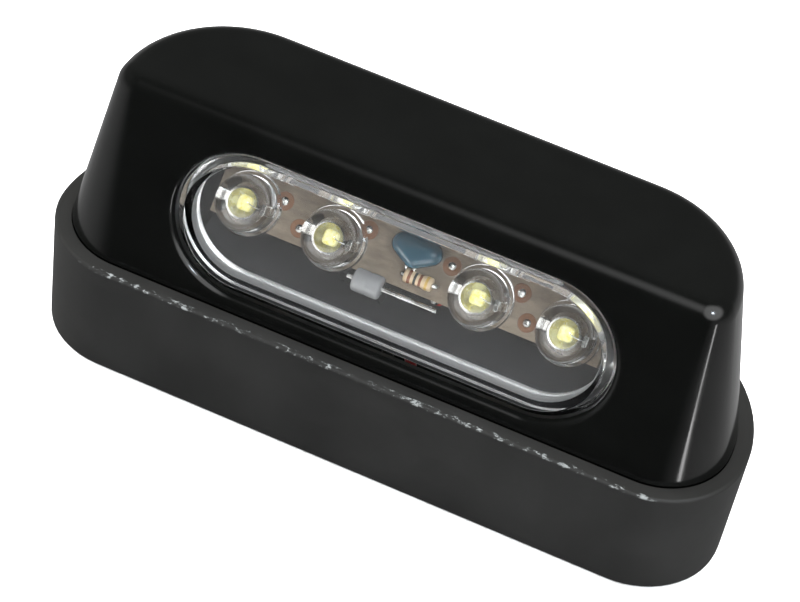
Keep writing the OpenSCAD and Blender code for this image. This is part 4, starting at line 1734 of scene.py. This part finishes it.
@dataclass
class Studio:
    """Floor, surround, lights and the camera at the photograph's angle."""

    azimuth: float = 16.534
    elevation: float = 44.468
    distance: float = 304.103
    roll: float = 10.53
    lens: float = 164.24
    target: Triple = (-1.096, 0.0, 10.821)
    floor_drop: float = 0.05
    glow: float = 1.5
    glow_from: float = 0.68
    glow_full: float = 0.9
    surround_low: float = 0.4
    sky_back: float = 0.1
    sky_front: float = 0.03
    lights: tuple[SoftBox, ...] = (
        SoftBox("overhead", (0.1, 0.2, 1.0), 0.9, (1.0, 0.8), 24.0),
        SoftBox("fill", (-0.1, -0.8, 0.6), 0.9, (0.8, 0.6), 2.2),
        SoftBox("left fill", (-1.0, 0.0, 0.55), 0.9, (0.5, 0.5), 18.0),
        SoftBox("spark", GLINT_TOWARD, 0.7, (0.09, 0.09), 1.4, (0.8, 0.9, 1.0), True),
        SoftBox("strip", (0.744, -0.531, -0.385), 0.7, (0.04, 0.3), 0.4, mirrored=True),
    )

    def camera(self) -> bpy.types.Object:
        """Create the camera from its angles, distance and roll.

        Returns:
            The camera, set as the scene's own.
        """
        turn, rise, roll = (math.radians(a) for a in (self.azimuth, self.elevation, self.roll))
        back = Vector((math.sin(turn) * math.cos(rise), -math.cos(turn) * math.cos(rise), math.sin(rise)))
        right = Vector((0, 0, 1)).cross(back).normalized()
        up = back.cross(right)
        right, up = math.cos(roll) * right + math.sin(roll) * up, math.cos(roll) * up - math.sin(roll) * right
        data = bpy.data.cameras.new("camera")
        data.lens = self.lens
        data.sensor_width = 36.0
        data.clip_start = 0.01
        data.clip_end = 10.0
        camera = bpy.data.objects.new("camera", data)
        place = Matrix((right, up, back)).transposed().to_4x4()
        place.translation = (Vector(self.target) + back * self.distance) * MM
        camera.matrix_world = place
        bpy.context.scene.collection.objects.link(camera)
        bpy.context.scene.camera = camera
        return camera

    def floor(self) -> bpy.types.Object:
        """A wide pale floor under the lamp.

        Returns:
            The floor.
        """
        Bench.clear()
        bpy.ops.mesh.primitive_plane_add(size=6.0, location=(0, 0, -self.floor_drop * MM))
        floor = bpy.context.object
        floor.name = "floor"
        desk = ShaderDesk("pale floor")
        desk.set(Base_Color=(0.9, 0.9, 0.9, 1), Roughness=0.9, Specular_IOR_Level=0.1)
        floor.data.materials.append(desk.material)
        floor.visible_glossy = False
        return floor

    def world(self) -> None:
        """A plain surround: pale low down at the sides and behind, dark in front, with one soft glow."""
        world = bpy.data.worlds.new("surround")
        world.use_nodes = True
        bpy.context.scene.world = world
        tree = world.node_tree
        back = tree.nodes["Background"]
        place = tree.nodes.new("ShaderNodeTexCoord")
        split = tree.nodes.new("ShaderNodeSeparateXYZ")
        tree.links.new(place.outputs["Generated"], split.inputs[0])

        def share(source: bpy.types.NodeSocket, start: float, end: float, low: float,
                  high: float) -> bpy.types.NodeSocket:
            """Map a socket smoothly from one range to another.

            Args:
                source: The socket to map.
                start: Value that gives low.
                end: Value that gives high.
                low: First result.
                high: Second result.

            Returns:
                The mapped socket.
            """
            node = tree.nodes.new("ShaderNodeMapRange")
            node.interpolation_type = "SMOOTHSTEP"
            tree.links.new(source, node.inputs[0])
            for index, value in ((1, start), (2, end), (3, low), (4, high)):
                node.inputs[index].default_value = value
            return node.outputs[0]

        def reckon(how: str, first: bpy.types.NodeSocket,
                   second: bpy.types.NodeSocket | float = 0.0) -> bpy.types.NodeSocket:
            """Combine two sockets, or a socket and a number.

            Args:
                how: Name of the operation.
                first: First term.
                second: Second term.

            Returns:
                The socket with the result.
            """
            node = tree.nodes.new("ShaderNodeMath")
            node.operation = how
            tree.links.new(first, node.inputs[0])
            if isinstance(second, float):
                node.inputs[1].default_value = second
            else:
                tree.links.new(second, node.inputs[1])
            return node.outputs[0]

        def halo(toward: Triple, start: float, end: float) -> bpy.types.NodeSocket:
            """A soft round glow about one direction, between two cosines.

            Args:
                toward: Direction of the middle.
                start: Cosine at which the glow begins.
                end: Cosine at which it is full.

            Returns:
                The socket with the glow's strength.
            """
            near = tree.nodes.new("ShaderNodeVectorMath")
            near.operation = "DOT_PRODUCT"
            tree.links.new(place.outputs["Generated"], near.inputs[0])
            near.inputs[1].default_value = Vector(toward).normalized()
            rise = share(near.outputs["Value"], start, end, 0.0, self.glow)
            return reckon("MULTIPLY", rise, rise)

        side = share(reckon("ABSOLUTE", split.outputs["X"]), 0.35, 0.85, 0.0, 1.0)
        behind = share(split.outputs["Y"], -0.3, 0.4, 0.0, 1.0)
        low = share(split.outputs["Z"], 0.3, -0.2, self.sky_back, self.surround_low)
        base = reckon("MULTIPLY", reckon("MAXIMUM", side, behind), low)
        glow = halo(GLINT_TOWARD, self.glow_from, self.glow_full)
        total = reckon("ADD", reckon("ADD", base, glow), self.sky_front)
        tree.links.new(total, back.inputs["Strength"])
        back.inputs["Color"].default_value = (1, 1, 1, 1)

    def build(self) -> None:
        """Set up the floor, the surround, the lights and the camera."""
        bpy.context.scene.view_settings.view_transform = "Standard"
        self.floor()
        self.world()
        for light in self.lights:
            light.build()
        self.camera()


def main() -> None:
    """Build every sub-assembly in order and report its pieces."""
    logging.basicConfig(level=logging.INFO, format="%(name)s: %(message)s")
    sizes = LampSizes()
    tin = PlatedMetal("tinned metal", (0.82, 0.82, 0.8), (0.5, 0.48, 0.45))
    soft = SoftRubber("soft black", (0.012, 0.012, 0.012), (0.022, 0.022, 0.022))
    shells = (
        Boot(sizes, SoftRubber("boot rubber", (0.0095, 0.0095, 0.009), (0.0135, 0.0135, 0.0128),
                               flash=(sizes.ends_y - sizes.boot_front_r, sizes.boot_h))),
        Hood(sizes, MouldedPlastic("hood gloss", (0.0019, 0.0021, 0.0019), (0.12, 0.16), 0.000001)),
        Lens(sizes, ClearPlastic("lens clear", (0.97, 0.98, 0.98), mirror=0.36),
             ClearPlastic("lens sides", (0.94, 0.95, 0.95), roughness=0.3, haze=0.04)),
    )
    for shell in shells:
        shell.dress(shell.build())
    LightSet(sizes, ClearPlastic("light clear", (1.0, 1.0, 1.0), 1.52), tin, Phosphor()).build()
    BoardParts(
        sizes, Laminate(),
        MouldedPlastic("pad lacquer", (0.2, 0.09, 0.04), (0.25, 0.4)), tin,
        MouldedPlastic("dipped blue", (0.012, 0.06, 0.09), (0.05, 0.1), 0.00002, 900.0),
        MouldedPlastic("diode grey", (0.2, 0.2, 0.2), (0.15, 0.25)),
    ).build()
    Wiring(
        sizes, MouldedPlastic("red cover", (0.45, 0.01, 0.01), (0.3, 0.45)),
        MouldedPlastic("black cover", (0.01, 0.01, 0.01), (0.3, 0.45)), tin, soft,
    ).build()
    Fittings(
        sizes, MouldedPlastic("plate black", (0.024, 0.024, 0.025), (0.14, 0.24)),
        PlatedMetal("brass", (0.75, 0.52, 0.2), (0.45, 0.3, 0.12)),
        PlatedMetal("zinc steel", (0.6, 0.6, 0.58), (0.35, 0.33, 0.3)),
    ).build()
    CarriedNodes({"lens_seal": soft}).dress()
    Studio().build()


if __name__ == "__main__":
    main()
